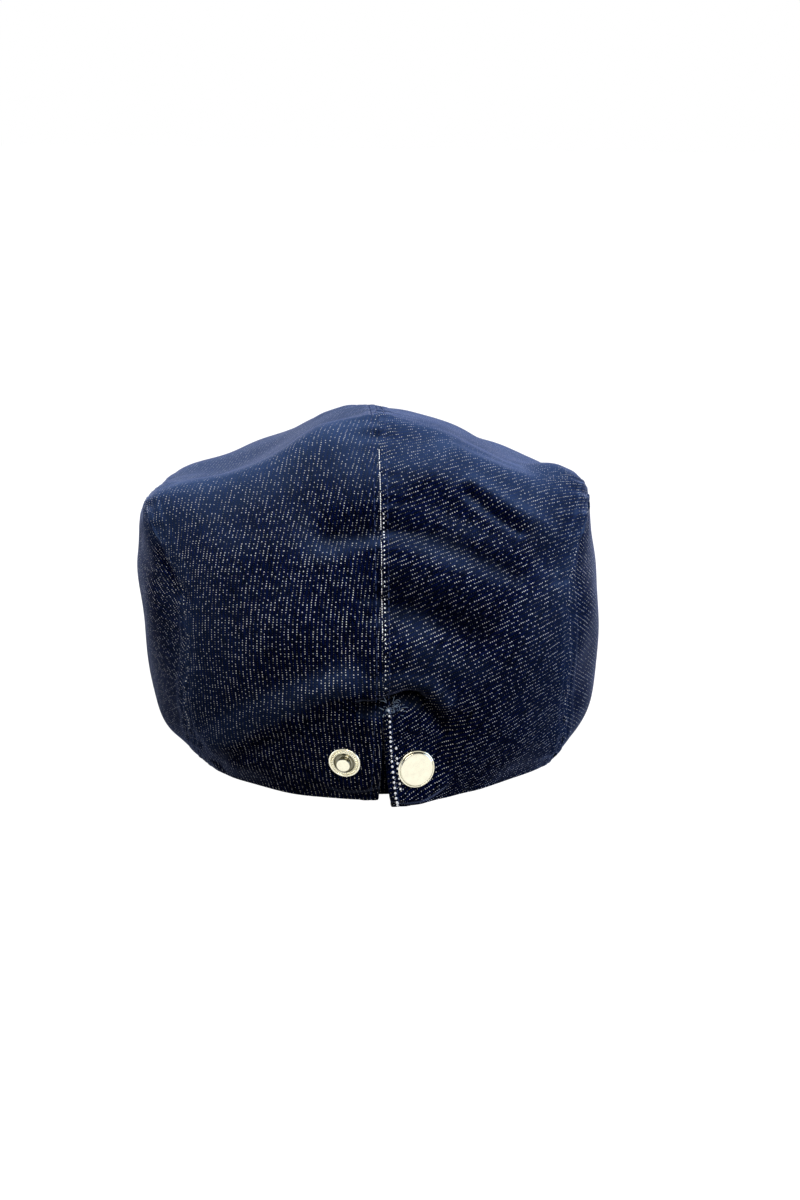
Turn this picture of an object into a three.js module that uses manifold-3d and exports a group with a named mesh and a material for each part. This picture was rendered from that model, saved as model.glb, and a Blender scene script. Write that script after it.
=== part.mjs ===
// A soft denim flat cap that lies on a surface, with a slit and a metal snap at the back of its opening.
// Millimetres, +Z up, the peak towards -Y, the back of the cap towards +Y, and the wearer's left at +X.
import * as THREE from "three";
import { mergeVertices } from "three/addons/utils/BufferGeometryUtils.js";
import Module from "manifold-3d";

const wasm = await Module();
wasm.setup();

// Driving dimensions
const CLOTH = 2; // thickness of the doubled cloth walls
const SEAM_GAP = 0.4; // space left between two panels along their seam
const SLIT_LEVEL = 1.93; // ring level where the slit at the back ends
const SLIT_HALF_WIDTH = 1.4; // each flap's distance from the middle at the rim
const FLAP_LIFT = 3; // how far the right flap stands out at its lower corner
const FLAP_DROP = 0.4; // how far the left flap is pressed in there
const FLAP_SPREAD = 17; // degrees round the cap over which both fade out
const SKIN_STEP = 2e-3; // step for the slopes of the skin, in ring levels
const RIM_BLEND = 0.7; // ring levels over which the walls turn to stand upright on the rim

// The frame's origin is under the middle of the cap; these are that middle, measured from the head oval.
const MIDDLE_X = 1.55;
const MIDDLE_Y = -19.95;

const DENIM = { color: "#1b2a4e", roughness: 0.9, metalness: 0 };
const NICKEL = { color: "#d9d6ca", roughness: 0.25, metalness: 1 };

// A table is a list of rows under named columns.
function table(columns, rows) {
  const names = columns.split(" ");
  return rows.map((row) => Object.fromEntries(names.map((name, i) => [name, row[i]])));
}

// Rings round the cap from its rim to the top. Each has half its width, its farthest points back and
// front, the place of its widest points, its heights at the back, sides and front, how full its
// corners are there, and how much farther it bulges to the wearer's left than to the right.
const RING_COLUMNS = "name half_width back front side_y z_back z_side z_front full_back full_front bulge";
const RINGS = table(RING_COLUMNS, [
  ["rim", 84, 98, -134, 18, 0, 0, 22, 0, 0.22, -1],
  ["hem", 94, 105, -138, 20, 17, 19, 34, 0.02, 0.22, 0],
  ["belly", 96, 110, -137, 23, 50, 49, 50, 0.05, 0.22, 0.8],
  ["upper", 95.5, 100.5, -122, 25, 81, 81.5, 67, 0.09, 0.2, 2.9],
  ["shoulder", 88.5, 83.5, -96, 28, 109, 105, 92, 0.07, 0.15, 4.2],
  ["crown", 58, 61, -44, 32, 134, 117, 128, 0, 0.05, -5.6],
  ["apex", 0, 38, 38, 38, 142.5, 142.5, 142.5, 0, 0, 0],
]);
const TOP = RINGS.length - 1;

// Folds and dents of the cloth, each along a line between two places given as degrees round the cap
// from the back (positive towards the wearer's left) and ring level, with its width and height.
const FOLDS = table("name azimuth_0 level_0 azimuth_1 level_1 width height", [
  ["corner_left", 66, 4.15, 60, 4.3, 16, 1],
  ["corner_right", -66, 4.25, -60, 4.45, 16, 2.7],
  ["knob_right", -86, 4.5, -82, 4.7, 12, 6],
  ["crease_right", -14, 4.25, -45, 3.3, 8, -2.2],
  ["roll_right", -10, 4.6, -48, 3.75, 10, 1.2],
  ["slit_dent", -1, 1.98, -15, 1.5, 8, -3],
  ["low_left", 50, 0.45, 14, 1.85, 9, 1.6],
  ["low_left_valley", 48, 1, 10, 2.3, 9, -1.4],
  ["side_left", 80, 3.3, 56, 2.95, 9, -1.8],
]);
const FOLD_POINTS = 5;

// The side seam, from the rim at the back, up and forward over the side, to the rim at the front.
const SEAM = table("level left_azimuth right_azimuth", [
  [0, 60, -57],
  [1, 53, -53],
  [1.6, 51, -50],
  [2.3, 48, -49],
  [2.8, 49, -48],
  [3.25, 54, -53],
  [3.65, 61, -62],
  [3.95, 72, -75],
  [4.03, 86, -87],
  [3.92, 101, -101],
  [3.6, 120, -120],
  [2.8, 140, -140],
  [1.5, 152, -152],
  [0, 156, -156],
]);
const SEAM_REAR_CORNER = 6; // row where the seam turns from rising to running forward
const SEAM_FRONT_CORNER = 11; // row where it turns down to the peak

// Facets of the panels
const RISE_STEPS = 12; // up each end of a side panel
const RUN_STEPS = 16; // along its top
const CROWN_STEPS = 14; // across half the crown

// Peak
const PEAK_SHOWN = 16; // how far its edge stands out beyond the crown in the middle
const PEAK_TUCKED = 2; // how far its corners stay behind the crown's rim
const PEAK_ENDS = 112; // degrees round the cap to its corners
const PEAK_THICKNESS = 3.4;
const PEAK_GAP = 0.3; // under the crown
const PEAK_FADE = 30; // distance over which the rim of the crown turns to lie on it
const PEAK_ACROSS = 26;
const PEAK_ALONG = 6;

// Slit underlap
const UNDERLAP = { azimuth_0: -2.6, azimuth_1: 5.5, level_0: 0.12, level_1: 2.05, thickness: 1 };
const UNDERLAP_ACROSS = 6;
const UNDERLAP_UP = 8;

// Snap halves: place on the cloth, the way that they face as degrees round the cap and up, and the
// sizes of the turned pieces. The cloth is pressed flat under them.
const SNAP_SIDES = 24;
const SHANK_RADIUS = 1.6;
const HOLE_RADIUS = 2;
const SNAP_CLEARANCE = 0.4;
const DRILL_LENGTH = 12;
const SEAT_RADIUS = 10;
const SEAT_FADE = 9;
const STUD = {
  azimuth: 10,
  level: 1.1,
  face_azimuth: 14,
  face_elevation: -8,
  ring_radius: 6.25,
  lip_width: 0.9,
  lip_height: 1.5,
  ring_height: 1.2,
  collar_radius: 3.6,
  collar_height: 1.6,
  well_radius: 3.2,
  well_height: 0.9,
  post_radius: 2.5,
  neck_radius: 2.1,
  post_height: 3.6,
  post_bevel: 0.5,
  washer_radius: 5,
  washer_thickness: 0.8,
};
const CAP = {
  azimuth: -6.5,
  level: 1,
  face_azimuth: -14,
  face_elevation: 0,
  radius: 7.5,
  height: 2,
  edge_height: 0.7,
  shoulder_radius: 6.6,
  shoulder_height: 1.6,
  socket_radius: 6,
  socket_wall: 1.6,
  socket_depth: 2.4,
  bore_radius: 2.7,
  bore_depth: 1.4,
};

function smooth(x) {
  const k = THREE.MathUtils.clamp(x, 0, 1);
  return k * k * (3 - 2 * k);
}

// The skin is charted on a flat disc: the apex is its centre, each ring a circle round it, the back of
// the cap towards +y, and the distance from the centre is the number of levels below the apex.
function chart(azimuth, level) {
  const angle = THREE.MathUtils.degToRad(azimuth);
  return new THREE.Vector2(Math.sin(angle), Math.cos(angle)).multiplyScalar(TOP - level);
}

const levelOf = (place) => TOP - place.length();
const azimuthOf = (place) => THREE.MathUtils.radToDeg(Math.atan2(place.x, place.y));

function ringPoint(ring, angle) {
  const s = Math.sin(angle);
  const c = Math.cos(angle);
  const rear = c >= 0;
  const fullness = rear ? ring.full_back : ring.full_front;
  const across = s * (1 + fullness * c * c);
  const span = rear ? ring.back - ring.side_y : ring.side_y - ring.front;
  const rise = rear ? ring.z_back - ring.z_side : ring.z_front - ring.z_side;
  return new THREE.Vector3(
    across * (ring.half_width + ring.bulge * s),
    ring.side_y + span * c * (1 + fullness * s * s),
    ring.z_side + rise * (1 - across ** 2),
  );
}

// The skin between the rings is a smooth curve through them, flat at the apex.
function skin(place) {
  const level = levelOf(place);
  const angle = Math.atan2(place.x, place.y);
  const points = RINGS.map((ring) => ringPoint(ring, angle));
  const below = points[0].clone().multiplyScalar(2).sub(points[1]);
  const above = points[TOP].clone().multiplyScalar(2).sub(points[TOP - 1]);
  above.z = points[TOP - 1].z;
  const all = [below, ...points, above];
  const i = THREE.MathUtils.clamp(Math.floor(level), 0, TOP - 1);
  const f = level - i;
  const weights = [
    -f + 2 * f ** 2 - f ** 3,
    2 - 5 * f ** 2 + 3 * f ** 3,
    f + 4 * f ** 2 - 3 * f ** 3,
    -(f ** 2) + f ** 3,
  ];
  const sum = new THREE.Vector3();
  weights.forEach((weight, k) => sum.addScaledVector(all[i + k], weight / 2));
  return sum;
}

// Direction out of the skin, level at the rim so that the walls stand upright on it.
function outward(place) {
  const radius = place.length();
  const near = place.clone().multiplyScalar(Math.min(1, (TOP - SKIN_STEP) / Math.max(radius, SKIN_STEP)));
  const slope = (dx, dy) => {
    const step = new THREE.Vector2(dx, dy).multiplyScalar(SKIN_STEP);
    return skin(near.clone().add(step)).sub(skin(near.clone().sub(step)));
  };
  const normal = slope(1, 0).cross(slope(0, 1)).normalize();
  normal.z *= smooth((TOP - radius) / RIM_BLEND);
  return normal.normalize();
}

const FOLD_LINES = FOLDS.map((fold) => {
  const points = [];
  for (let i = 0; i < FOLD_POINTS; i += 1) {
    const k = i / (FOLD_POINTS - 1);
    const azimuth = THREE.MathUtils.lerp(fold.azimuth_0, fold.azimuth_1, k);
    const level = THREE.MathUtils.lerp(fold.level_0, fold.level_1, k);
    points.push(skin(chart(azimuth, level)));
  }
  return { fold, points };
});

function foldHeight(point) {
  let height = 0;
  const nearest = new THREE.Vector3();
  for (const { fold, points } of FOLD_LINES) {
    let distance = Infinity;
    for (let i = 1; i < points.length; i += 1) {
      new THREE.Line3(points[i - 1], points[i]).closestPointToPoint(point, true, nearest);
      distance = Math.min(distance, nearest.distanceTo(point));
    }
    height += fold.height * Math.exp(-((distance / fold.width) ** 2));
  }
  return height;
}

function flapHeight(place) {
  const azimuth = azimuthOf(place);
  const fade = smooth((SLIT_LEVEL - levelOf(place)) / SLIT_LEVEL) * Math.exp(-((azimuth / FLAP_SPREAD) ** 2));
  return (azimuth < 0 ? FLAP_LIFT : -FLAP_DROP) * fade;
}

// How high the rim of the crown lies above the surface that the cap rests on, where the peak is under it.
function restHeight(x) {
  const rim = RINGS[0];
  return rim.z_front * (1 - (x / (rim.half_width + Math.sign(x) * rim.bulge)) ** 2);
}

function looseHeight(place, base) {
  return foldHeight(base) + flapHeight(place);
}

const SEATS = [STUD, CAP].map((snap) => {
  const place = chart(snap.azimuth, snap.level);
  const base = skin(place);
  const azimuth = THREE.MathUtils.degToRad(snap.face_azimuth);
  const elevation = THREE.MathUtils.degToRad(snap.face_elevation);
  const facing = new THREE.Vector3(Math.sin(azimuth), Math.cos(azimuth), Math.tan(elevation)).normalize();
  const centre = base.clone().addScaledVector(outward(place), looseHeight(place, base));
  return { snap, base, facing, centre, side: Math.sign(snap.azimuth) };
});

// The height of the cloth above the skin, with the cloth under each snap drawn onto the snap's plane.
function clothHeight(place, base, out) {
  let height = looseHeight(place, base);
  for (const { facing, centre, side, base: middle } of SEATS) {
    const pressed = 1 - smooth((base.distanceTo(middle) - SEAT_RADIUS) / SEAT_FADE);
    if (pressed > 0 && place.x * side >= 0) {
      const flat = centre.clone().sub(base).dot(facing) / out.dot(facing);
      height = THREE.MathUtils.lerp(height, flat, pressed);
    }
  }
  return height;
}

// A point of the cloth at the given distance outside its outer face.
function cloth(place, distance = 0) {
  const base = skin(place);
  const out = outward(place);
  const point = base.clone().addScaledVector(out, clothHeight(place, base, out) + distance);
  const onPeak = smooth((RINGS[0].side_y - point.y) / PEAK_FADE);
  point.z = Math.max(point.z, restHeight(point.x) * onPeak);
  return point;
}

// A closed solid between two grids of points with the same rows and columns: over is its outer face.
function slab(over, under) {
  const rows = over.length;
  const columns = over[0].length;
  const positions = [];
  const sheet = (grid) => grid.flat().forEach((point) => positions.push(point.x, point.y, point.z));
  sheet(over);
  sheet(under);
  const top = (r, c) => r * columns + c;
  const bottom = (r, c) => rows * columns + top(r, c);
  const index = [];
  const quad = (a, b, c, d) => index.push(a, c, b, a, d, c);
  for (let r = 0; r + 1 < rows; r += 1) {
    for (let c = 0; c + 1 < columns; c += 1) {
      quad(top(r, c), top(r, c + 1), top(r + 1, c + 1), top(r + 1, c));
      quad(bottom(r, c), bottom(r + 1, c), bottom(r + 1, c + 1), bottom(r, c + 1));
    }
  }
  for (let c = 0; c + 1 < columns; c += 1) {
    quad(top(0, c), bottom(0, c), bottom(0, c + 1), top(0, c + 1));
    quad(top(rows - 1, c + 1), bottom(rows - 1, c + 1), bottom(rows - 1, c), top(rows - 1, c));
  }
  for (let r = 0; r + 1 < rows; r += 1) {
    quad(top(r + 1, 0), bottom(r + 1, 0), bottom(r, 0), top(r, 0));
    quad(top(r, columns - 1), bottom(r, columns - 1), bottom(r + 1, columns - 1), top(r + 1, columns - 1));
  }
  const geometry = new THREE.BufferGeometry();
  geometry.setAttribute("position", new THREE.Float32BufferAttribute(positions, 3));
  geometry.setIndex(index);
  return geometry;
}

// The smooth seam line on the chart, and its stretches between the corners.
function seamStretches(side) {
  const places = SEAM.map((row) => chart(row[side], row.level));
  const stretch = (from, to) => new THREE.SplineCurve(places.slice(from, to + 1));
  return {
    rear: stretch(0, SEAM_REAR_CORNER),
    over: stretch(SEAM_REAR_CORNER, SEAM_FRONT_CORNER),
    front: stretch(SEAM_FRONT_CORNER, SEAM.length - 1),
  };
}

function along(curve, steps) {
  return Array.from({ length: steps + 1 }, (_, i) => curve.getPointAt(i / steps));
}

function rimArc(from, to, steps) {
  return Array.from({ length: steps + 1 }, (_, i) => chart(THREE.MathUtils.lerp(from, to, i / steps), 0));
}

// A grid of places filled in between its four edges, which meet at the corners.
function filled(low, high, left, right) {
  return left.map((start, r) => {
    const v = r / (left.length - 1);
    return low.map((bottom, c) => {
      const u = c / (low.length - 1);
      const rise = bottom.clone().multiplyScalar(1 - v).addScaledVector(high[c], v);
      const run = start.clone().multiplyScalar(1 - u).addScaledVector(right[r], u);
      const corners = low[0].clone().multiplyScalar((1 - u) * (1 - v));
      corners.addScaledVector(low.at(-1), u * (1 - v));
      corners.addScaledVector(high[0], (1 - u) * v);
      corners.addScaledVector(high.at(-1), u * v);
      return rise.add(run).sub(corners);
    });
  });
}

function lengthOf(places) {
  const points = places.map((place) => skin(place));
  return points.slice(1).reduce((sum, point, i) => sum + point.distanceTo(points[i]), 0);
}

// Draws both ends of a row of places inwards by the given distances in millimetres.
function drawnIn(places, first, last) {
  const length = lengthOf(places);
  const count = places.length - 1;
  return places.map((_, i) => {
    const k = (first + (i / count) * (length - first - last)) / length * count;
    const j = Math.min(Math.floor(k), count - 1);
    return places[j].clone().lerp(places[j + 1], k - j);
  });
}

const turned = (grid) => grid[0].map((_, c) => grid.map((row) => row[c]));

// Half of the crown: from the rim at the back over the top to the rim at the front.
function crownPlaces(side) {
  const seam = seamStretches(side);
  const right = [
    ...along(seam.rear, RISE_STEPS),
    ...along(seam.over, RUN_STEPS).slice(1),
    ...along(seam.front, RISE_STEPS).slice(1),
  ];
  const steps = right.length - 1;
  const middle = right.map((_, i) => new THREE.Vector2(0, TOP * (1 - (2 * i) / steps)));
  const rear = rimArc(0, SEAM[0][side], CROWN_STEPS);
  const front = rimArc(Math.sign(SEAM[0][side]) * 180, SEAM.at(-1)[side], CROWN_STEPS);
  const grid = filled(rear, front, middle, right);
  return grid.map((row, r) => {
    const level = TOP * (2 * r) / steps;
    const open = smooth(1 - level / SLIT_LEVEL) * (SLIT_HALF_WIDTH - SEAM_GAP / 2);
    return drawnIn(row, SEAM_GAP / 2 + open, SEAM_GAP / 2);
  });
}

// A side panel: between the rim and the side seam.
function sidePlaces(side) {
  const seam = seamStretches(side);
  const rim = rimArc(SEAM[0][side], SEAM.at(-1)[side], RUN_STEPS);
  const front = along(seam.front, RISE_STEPS).reverse();
  const grid = filled(rim, along(seam.over, RUN_STEPS), along(seam.rear, RISE_STEPS), front);
  const narrowed = grid.map((row) => drawnIn(row, SEAM_GAP / 2, SEAM_GAP / 2));
  return turned(turned(narrowed).map((column) => drawnIn(column, 0, SEAM_GAP / 2)));
}

// Cloth wall on a grid of places. The panels on the wearer's right are mirrored, so they are wound back.
function wall(places, mirrored) {
  const grid = mirrored ? places.map((row) => [...row].reverse()) : places;
  const over = grid.map((row) => row.map((place) => cloth(place)));
  const under = grid.map((row) => row.map((place) => cloth(place, -CLOTH)));
  return slab(over, under);
}

function solid(geometry) {
  const bare = geometry.clone();
  bare.deleteAttribute("normal");
  bare.deleteAttribute("uv");
  const merged = mergeVertices(bare);
  const mesh = new wasm.Mesh({
    numProp: 3,
    vertProperties: merged.attributes.position.array,
    triVerts: new Uint32Array(merged.index.array),
  });
  return new wasm.Manifold(mesh);
}

function geometryOf(manifold) {
  const mesh = manifold.getMesh();
  const geometry = new THREE.BufferGeometry();
  geometry.setAttribute("position", new THREE.BufferAttribute(mesh.vertProperties, 3));
  geometry.setIndex(new THREE.BufferAttribute(mesh.triVerts, 1));
  return geometry;
}

// Place and turn of a snap: +y of the turned profile points out of the cloth.
function snapFrame(snap) {
  const seat = SEATS.find((row) => row.snap === snap);
  const turn = new THREE.Quaternion().setFromUnitVectors(new THREE.Vector3(0, 1, 0), seat.facing);
  return { position: seat.centre, turn };
}

function punched(geometry, snap) {
  const { position, turn } = snapFrame(snap);
  const drill = new THREE.CylinderGeometry(HOLE_RADIUS, HOLE_RADIUS, DRILL_LENGTH, SNAP_SIDES);
  drill.applyQuaternion(turn).translate(position.x, position.y, position.z);
  return geometryOf(solid(geometry).subtract(solid(drill)));
}

function lathe(profile) {
  const points = profile.map(([radius, height]) => new THREE.Vector2(radius, height));
  return new THREE.LatheGeometry(points.reverse(), SNAP_SIDES);
}

// The stud, from its post over the ribbed ring and down the shank to the washer inside the cap.
function studGeometry() {
  const inside = -CLOTH - SNAP_CLEARANCE;
  return lathe([
    [0, STUD.post_height],
    [STUD.post_radius - STUD.post_bevel, STUD.post_height],
    [STUD.post_radius, STUD.post_height - STUD.post_bevel],
    [STUD.neck_radius, STUD.well_height],
    [STUD.well_radius, STUD.well_height],
    [STUD.collar_radius, STUD.collar_height],
    [STUD.ring_radius - STUD.lip_width, STUD.ring_height],
    [STUD.ring_radius - STUD.lip_width / 2, STUD.lip_height],
    [STUD.ring_radius, STUD.ring_height],
    [STUD.ring_radius, SNAP_CLEARANCE],
    [SHANK_RADIUS, SNAP_CLEARANCE],
    [SHANK_RADIUS, inside],
    [STUD.washer_radius, inside],
    [STUD.washer_radius, inside - STUD.washer_thickness],
    [0, inside - STUD.washer_thickness],
  ]);
}

// The cap of the snap, from the middle of its dome over its edge and down the shank to the socket.
function capGeometry() {
  const inside = -CLOTH - SNAP_CLEARANCE;
  const floor = inside - CAP.socket_depth;
  return lathe([
    [0, CAP.height],
    [CAP.radius / 2, (CAP.height + CAP.shoulder_height) / 2],
    [CAP.shoulder_radius, CAP.shoulder_height],
    [CAP.radius, CAP.edge_height],
    [CAP.radius, SNAP_CLEARANCE],
    [SHANK_RADIUS, SNAP_CLEARANCE],
    [SHANK_RADIUS, inside],
    [CAP.socket_radius, inside],
    [CAP.socket_radius, inside - CAP.socket_wall],
    [CAP.bore_radius + CAP.socket_wall, floor],
    [CAP.bore_radius, floor],
    [CAP.bore_radius, floor + CAP.bore_depth],
    [0, floor + CAP.bore_depth],
  ]);
}

// The peak lies under the front of the crown, from the oval of the head opening to a little beyond the
// crown's rim: arched across, and cut off flat where its corners rest.
function peakGeometry() {
  const rim = RINGS[0];
  const grid = (depthBelow) =>
    Array.from({ length: PEAK_ALONG + 1 }, (_, r) =>
      Array.from({ length: PEAK_ACROSS + 1 }, (_, c) => {
        const share = (2 * c) / PEAK_ACROSS - 1;
        const outer = skin(chart(180 - share * (180 - PEAK_ENDS), 0));
        const opening = rim.side_y - (rim.side_y + rim.back) * Math.sqrt(1 - (outer.x / rim.half_width) ** 2);
        const edge = outer.y - THREE.MathUtils.lerp(PEAK_SHOWN, -PEAK_TUCKED, share ** 2);
        const height = Math.max(0, restHeight(outer.x) - PEAK_GAP - depthBelow);
        return new THREE.Vector3(outer.x, THREE.MathUtils.lerp(opening, edge, r / PEAK_ALONG), height);
      }),
    );
  return slab(grid(0), grid(PEAK_THICKNESS));
}

// The strip lies behind the open slit, against the inside of the flaps.
function underlapGeometry() {
  const { azimuth_0: right, azimuth_1: left, level_0: low, level_1: high, thickness } = UNDERLAP;
  const grid = (distance) =>
    Array.from({ length: UNDERLAP_UP + 1 }, (_, r) =>
      Array.from({ length: UNDERLAP_ACROSS + 1 }, (_, c) => {
        const level = THREE.MathUtils.lerp(low, high, r / UNDERLAP_UP);
        const place = chart(THREE.MathUtils.lerp(right, left, c / UNDERLAP_ACROSS), level);
        const base = skin(place);
        return base.addScaledVector(outward(place), foldHeight(base) - FLAP_DROP + distance);
      }),
    );
  const outside = -CLOTH - SEAM_GAP;
  return slab(grid(outside), grid(outside - thickness));
}

function piece(name, geometry, finish) {
  const mesh = new THREE.Mesh(geometry, new THREE.MeshStandardMaterial(finish));
  mesh.name = name;
  return mesh;
}

function snap(name, geometry, place) {
  const mesh = piece(name, geometry, NICKEL);
  const { position, turn } = snapFrame(place);
  mesh.position.copy(position);
  mesh.quaternion.copy(turn);
  return mesh;
}

const cap = new THREE.Group();
cap.name = "flat_cap";
cap.position.set(-MIDDLE_X, -MIDDLE_Y, 0);
cap.add(piece("crown_left", punched(wall(crownPlaces("left_azimuth"), false), STUD), DENIM));
cap.add(piece("crown_right", punched(wall(crownPlaces("right_azimuth"), true), CAP), DENIM));
cap.add(piece("side_left", wall(sidePlaces("left_azimuth"), false), DENIM));
cap.add(piece("side_right", wall(sidePlaces("right_azimuth"), true), DENIM));
cap.add(piece("peak", peakGeometry(), DENIM));
cap.add(piece("slit_underlap", underlapGeometry(), DENIM));
cap.add(snap("snap_stud", studGeometry(), STUD));
cap.add(snap("snap_cap", capGeometry(), CAP));

export default cap;
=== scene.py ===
import math

import bpy
import numpy as np
from bpy.props import FloatProperty, FloatVectorProperty, IntProperty, PointerProperty
from mathutils import Matrix, Vector


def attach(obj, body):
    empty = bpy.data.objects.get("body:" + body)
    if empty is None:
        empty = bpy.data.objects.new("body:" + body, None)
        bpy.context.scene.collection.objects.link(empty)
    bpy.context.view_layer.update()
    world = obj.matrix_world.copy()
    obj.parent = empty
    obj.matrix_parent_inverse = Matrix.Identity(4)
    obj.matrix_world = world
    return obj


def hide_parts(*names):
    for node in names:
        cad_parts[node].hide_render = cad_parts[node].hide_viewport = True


bl_info = {
    "name": "Denim Flat Cap",
    "version": (1, 0, 0),
    "blender": (4, 5, 0),
    "location": "3D View > Sidebar > Flat Cap",
    "description": "Dresses the packed flat cap in denim panels, seams, stitches and a metal snap",
    "category": "Object",
}

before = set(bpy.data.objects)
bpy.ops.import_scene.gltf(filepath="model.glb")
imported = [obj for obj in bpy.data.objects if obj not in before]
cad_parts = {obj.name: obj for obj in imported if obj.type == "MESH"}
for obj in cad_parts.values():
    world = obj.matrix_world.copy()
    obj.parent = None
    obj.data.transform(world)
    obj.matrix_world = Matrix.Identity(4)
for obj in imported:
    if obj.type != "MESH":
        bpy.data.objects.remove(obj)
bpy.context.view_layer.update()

# The form is worked out in millimetres round the head oval, and moved to the frame's origin at the end.
MM = 0.001
MIDDLE = np.array([1.55, -19.95, 0.0])


def linear(code):
    """An sRGB hex colour as linear red, green and blue."""
    shares = [int(code[i : i + 2], 16) / 255 for i in (1, 3, 5)]
    return tuple(s / 12.92 if s <= 0.04045 else ((s + 0.055) / 1.055) ** 2.4 for s in shares)


# Sizes and colours that a user would change


def size_value(name, description, default, low, high):
    """A length in metres that a user can change."""
    return FloatProperty(
        name=name, description=description, default=default, min=low, max=high,
        precision=5, subtype="DISTANCE", unit="LENGTH",
    )


def colour_value(name, description, code):
    """A colour that a user can change, from its sRGB hex code."""
    return FloatVectorProperty(
        name=name, description=description, default=linear(code), size=3, min=0.0, max=1.0, subtype="COLOR",
    )


def angle_value(name, description, degrees):
    """An angle that a user can change, from degrees."""
    return FloatProperty(
        name=name, description=description, default=math.radians(degrees), subtype="ANGLE", unit="ROTATION",
    )


class ClothSizes(bpy.types.PropertyGroup):
    """Sizes of the cloth panels"""

    thickness: size_value("Cloth thickness", "Thickness of one layer of the denim", 0.0011, 0.0005, 0.002)
    hem_thickness: size_value(
        "Hem thickness", "Thickness where the cloth is turned in at the slit", 0.002, 0.001, 0.004
    )
    mesh_step: size_value(
        "Mesh step", "Distance between the points of the panels, away from their seams", 0.0012, 0.001, 0.01
    )
    seam_ridge: size_value("Seam ridge", "How far the turned-in edge of a seam stands up", 0.0004, 0, 0.002)
    pucker: size_value("Pucker", "Height of the small puckers along the seams", 0.0003, 0, 0.002)
    wave: size_value("Wave", "Height of the soft waves all over the cloth", 0.0005, 0, 0.003)
    seed: IntProperty(name="Seed", description="Start of the random waves", default=7, min=0)


class DenimLook(bpy.types.PropertyGroup):
    """Threads and colours of the denim"""

    warp_pitch: size_value("Warp pitch", "Distance between two indigo threads", 0.00044, 0.0002, 0.002)
    weft_pitch: size_value("Weft pitch", "Distance between two undyed threads", 0.0008, 0.0002, 0.002)
    warp_dark: colour_value("Dark indigo", "Darkest indigo threads", "#000209")
    warp_light: colour_value("Light indigo", "Lightest indigo threads", "#061544")
    weft: colour_value("Undyed thread", "Flecks of the undyed thread", "#f4f5f6")
    # A lighter blue: painted top light on the parts that face up, and real wear where the cloth is rubbed
    # beside the seams.
    top_light_and_rub: colour_value("Nap", "Lighter nap on the parts that face up", "#40567f")
    fuzz: colour_value("Fuzz", "Blue fuzz that shows where the cloth is seen nearly edge on", "#98a5cf")


class StitchSizes(bpy.types.PropertyGroup):
    """Sizes and colours of the sewing"""

    pitch: size_value("Stitch pitch", "Distance from one stitch to the next", 0.0029, 0.001, 0.006)
    length: size_value("Stitch length", "Length of thread that shows in a stitch", 0.0023, 0.0005, 0.005)
    thread: size_value("Thread width", "Width of the sewing thread", 0.00042, 0.0001, 0.001)
    colour: colour_value("Sewing thread", "Colour of the sewing thread", "#2c3a62")
    fray: colour_value("Frayed thread", "Colour of the loose threads", "#9fb4cb")
    fray_count: IntProperty(name="Loose threads", description="Loose ends over the slit", default=60, min=0)


class SnapLook(bpy.types.PropertyGroup):
    """Finish of the snap"""

    ribs: IntProperty(name="Ribs", description="Radial ribs on the open half", default=38, min=8, max=120)
    rib_height: size_value("Rib height", "How far the ribs stand up", 0.0005, 0, 0.001)
    metal: colour_value("Nickel", "Colour of the plated metal", "#f5f0d8")
    # Dark olive painted between two radii of each snap, as painted shade.
    painted_hollow_shade: colour_value("Tarnish", "Colour of the metal in the hollows", "#4c4a3a")


class StageSizes(bpy.types.PropertyGroup):
    """Camera and floor of the stage"""

    elevation: angle_value("Camera elevation", "Angle of the camera above the surface", 17.3)
    turn: angle_value("Camera turn", "Angle of the camera round the back of the cap", 3.3)
    roll: angle_value("Camera roll", "Tilt of the picture", 0.66)
    distance: size_value("Camera distance", "Distance from the camera to the cap", 0.64, 0.2, 10)
    lens: FloatProperty(name="Lens", description="Focal length in millimetres", default=45.36, min=10)
    floor: colour_value("Floor", "Colour of the floor", "#5a5a5a")


SETTINGS = {
    "cap_cloth": ClothSizes,
    "cap_denim": DenimLook,
    "cap_stitch": StitchSizes,
    "cap_snap": SnapLook,
    "cap_stage": StageSizes,
}


# Form of the cap, from the same named values as its solids

# Rings from the rim to the top: half width, farthest points back and front, place of the widest points,
# heights at the back, sides and front, fullness of the corners back and front, and bulge to the left.
RINGS = np.array([
    [84, 98, -134, 18, 0, 0, 22, 0, 0.22, -1],
    [94, 105, -138, 20, 17, 19, 34, 0.02, 0.22, 0],
    [96, 110, -137, 23, 50, 49, 50, 0.05, 0.22, 0.8],
    [95.5, 100.5, -122, 25, 81, 81.5, 67, 0.09, 0.2, 2.9],
    [88.5, 83.5, -96, 28, 109, 105, 92, 0.07, 0.15, 4.2],
    [58, 61, -44, 32, 134, 117, 128, 0, 0.05, -5.6],
    [0, 38, 38, 38, 142.5, 142.5, 142.5, 0, 0, 0],
])
TOP = len(RINGS) - 1
RIM_NAMES = ("half_width", "back", "front", "side_y", "z_back", "z_side", "z_front")
RIM = dict(zip(RIM_NAMES, RINGS[0]), bulge=RINGS[0][9])
RIM_BLEND = 0.7

# Folds: degrees round the cap from the back and ring level at both ends, width and height.
FOLDS = [
    (66, 4.15, 60, 4.3, 16, 1),
    (-66, 4.25, -60, 4.45, 16, 2.7),
    (-86, 4.5, -82, 4.7, 12, 6),
    (-14, 4.25, -45, 3.3, 8, -2.2),
    (-10, 4.6, -48, 3.75, 10, 1.2),
    (-1, 1.98, -15, 1.5, 8, -3),
    (50, 0.45, 14, 1.85, 9, 1.6),
    (48, 1, 10, 2.3, 9, -1.4),
    (80, 3.3, 56, 2.95, 9, -1.8),
]

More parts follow.
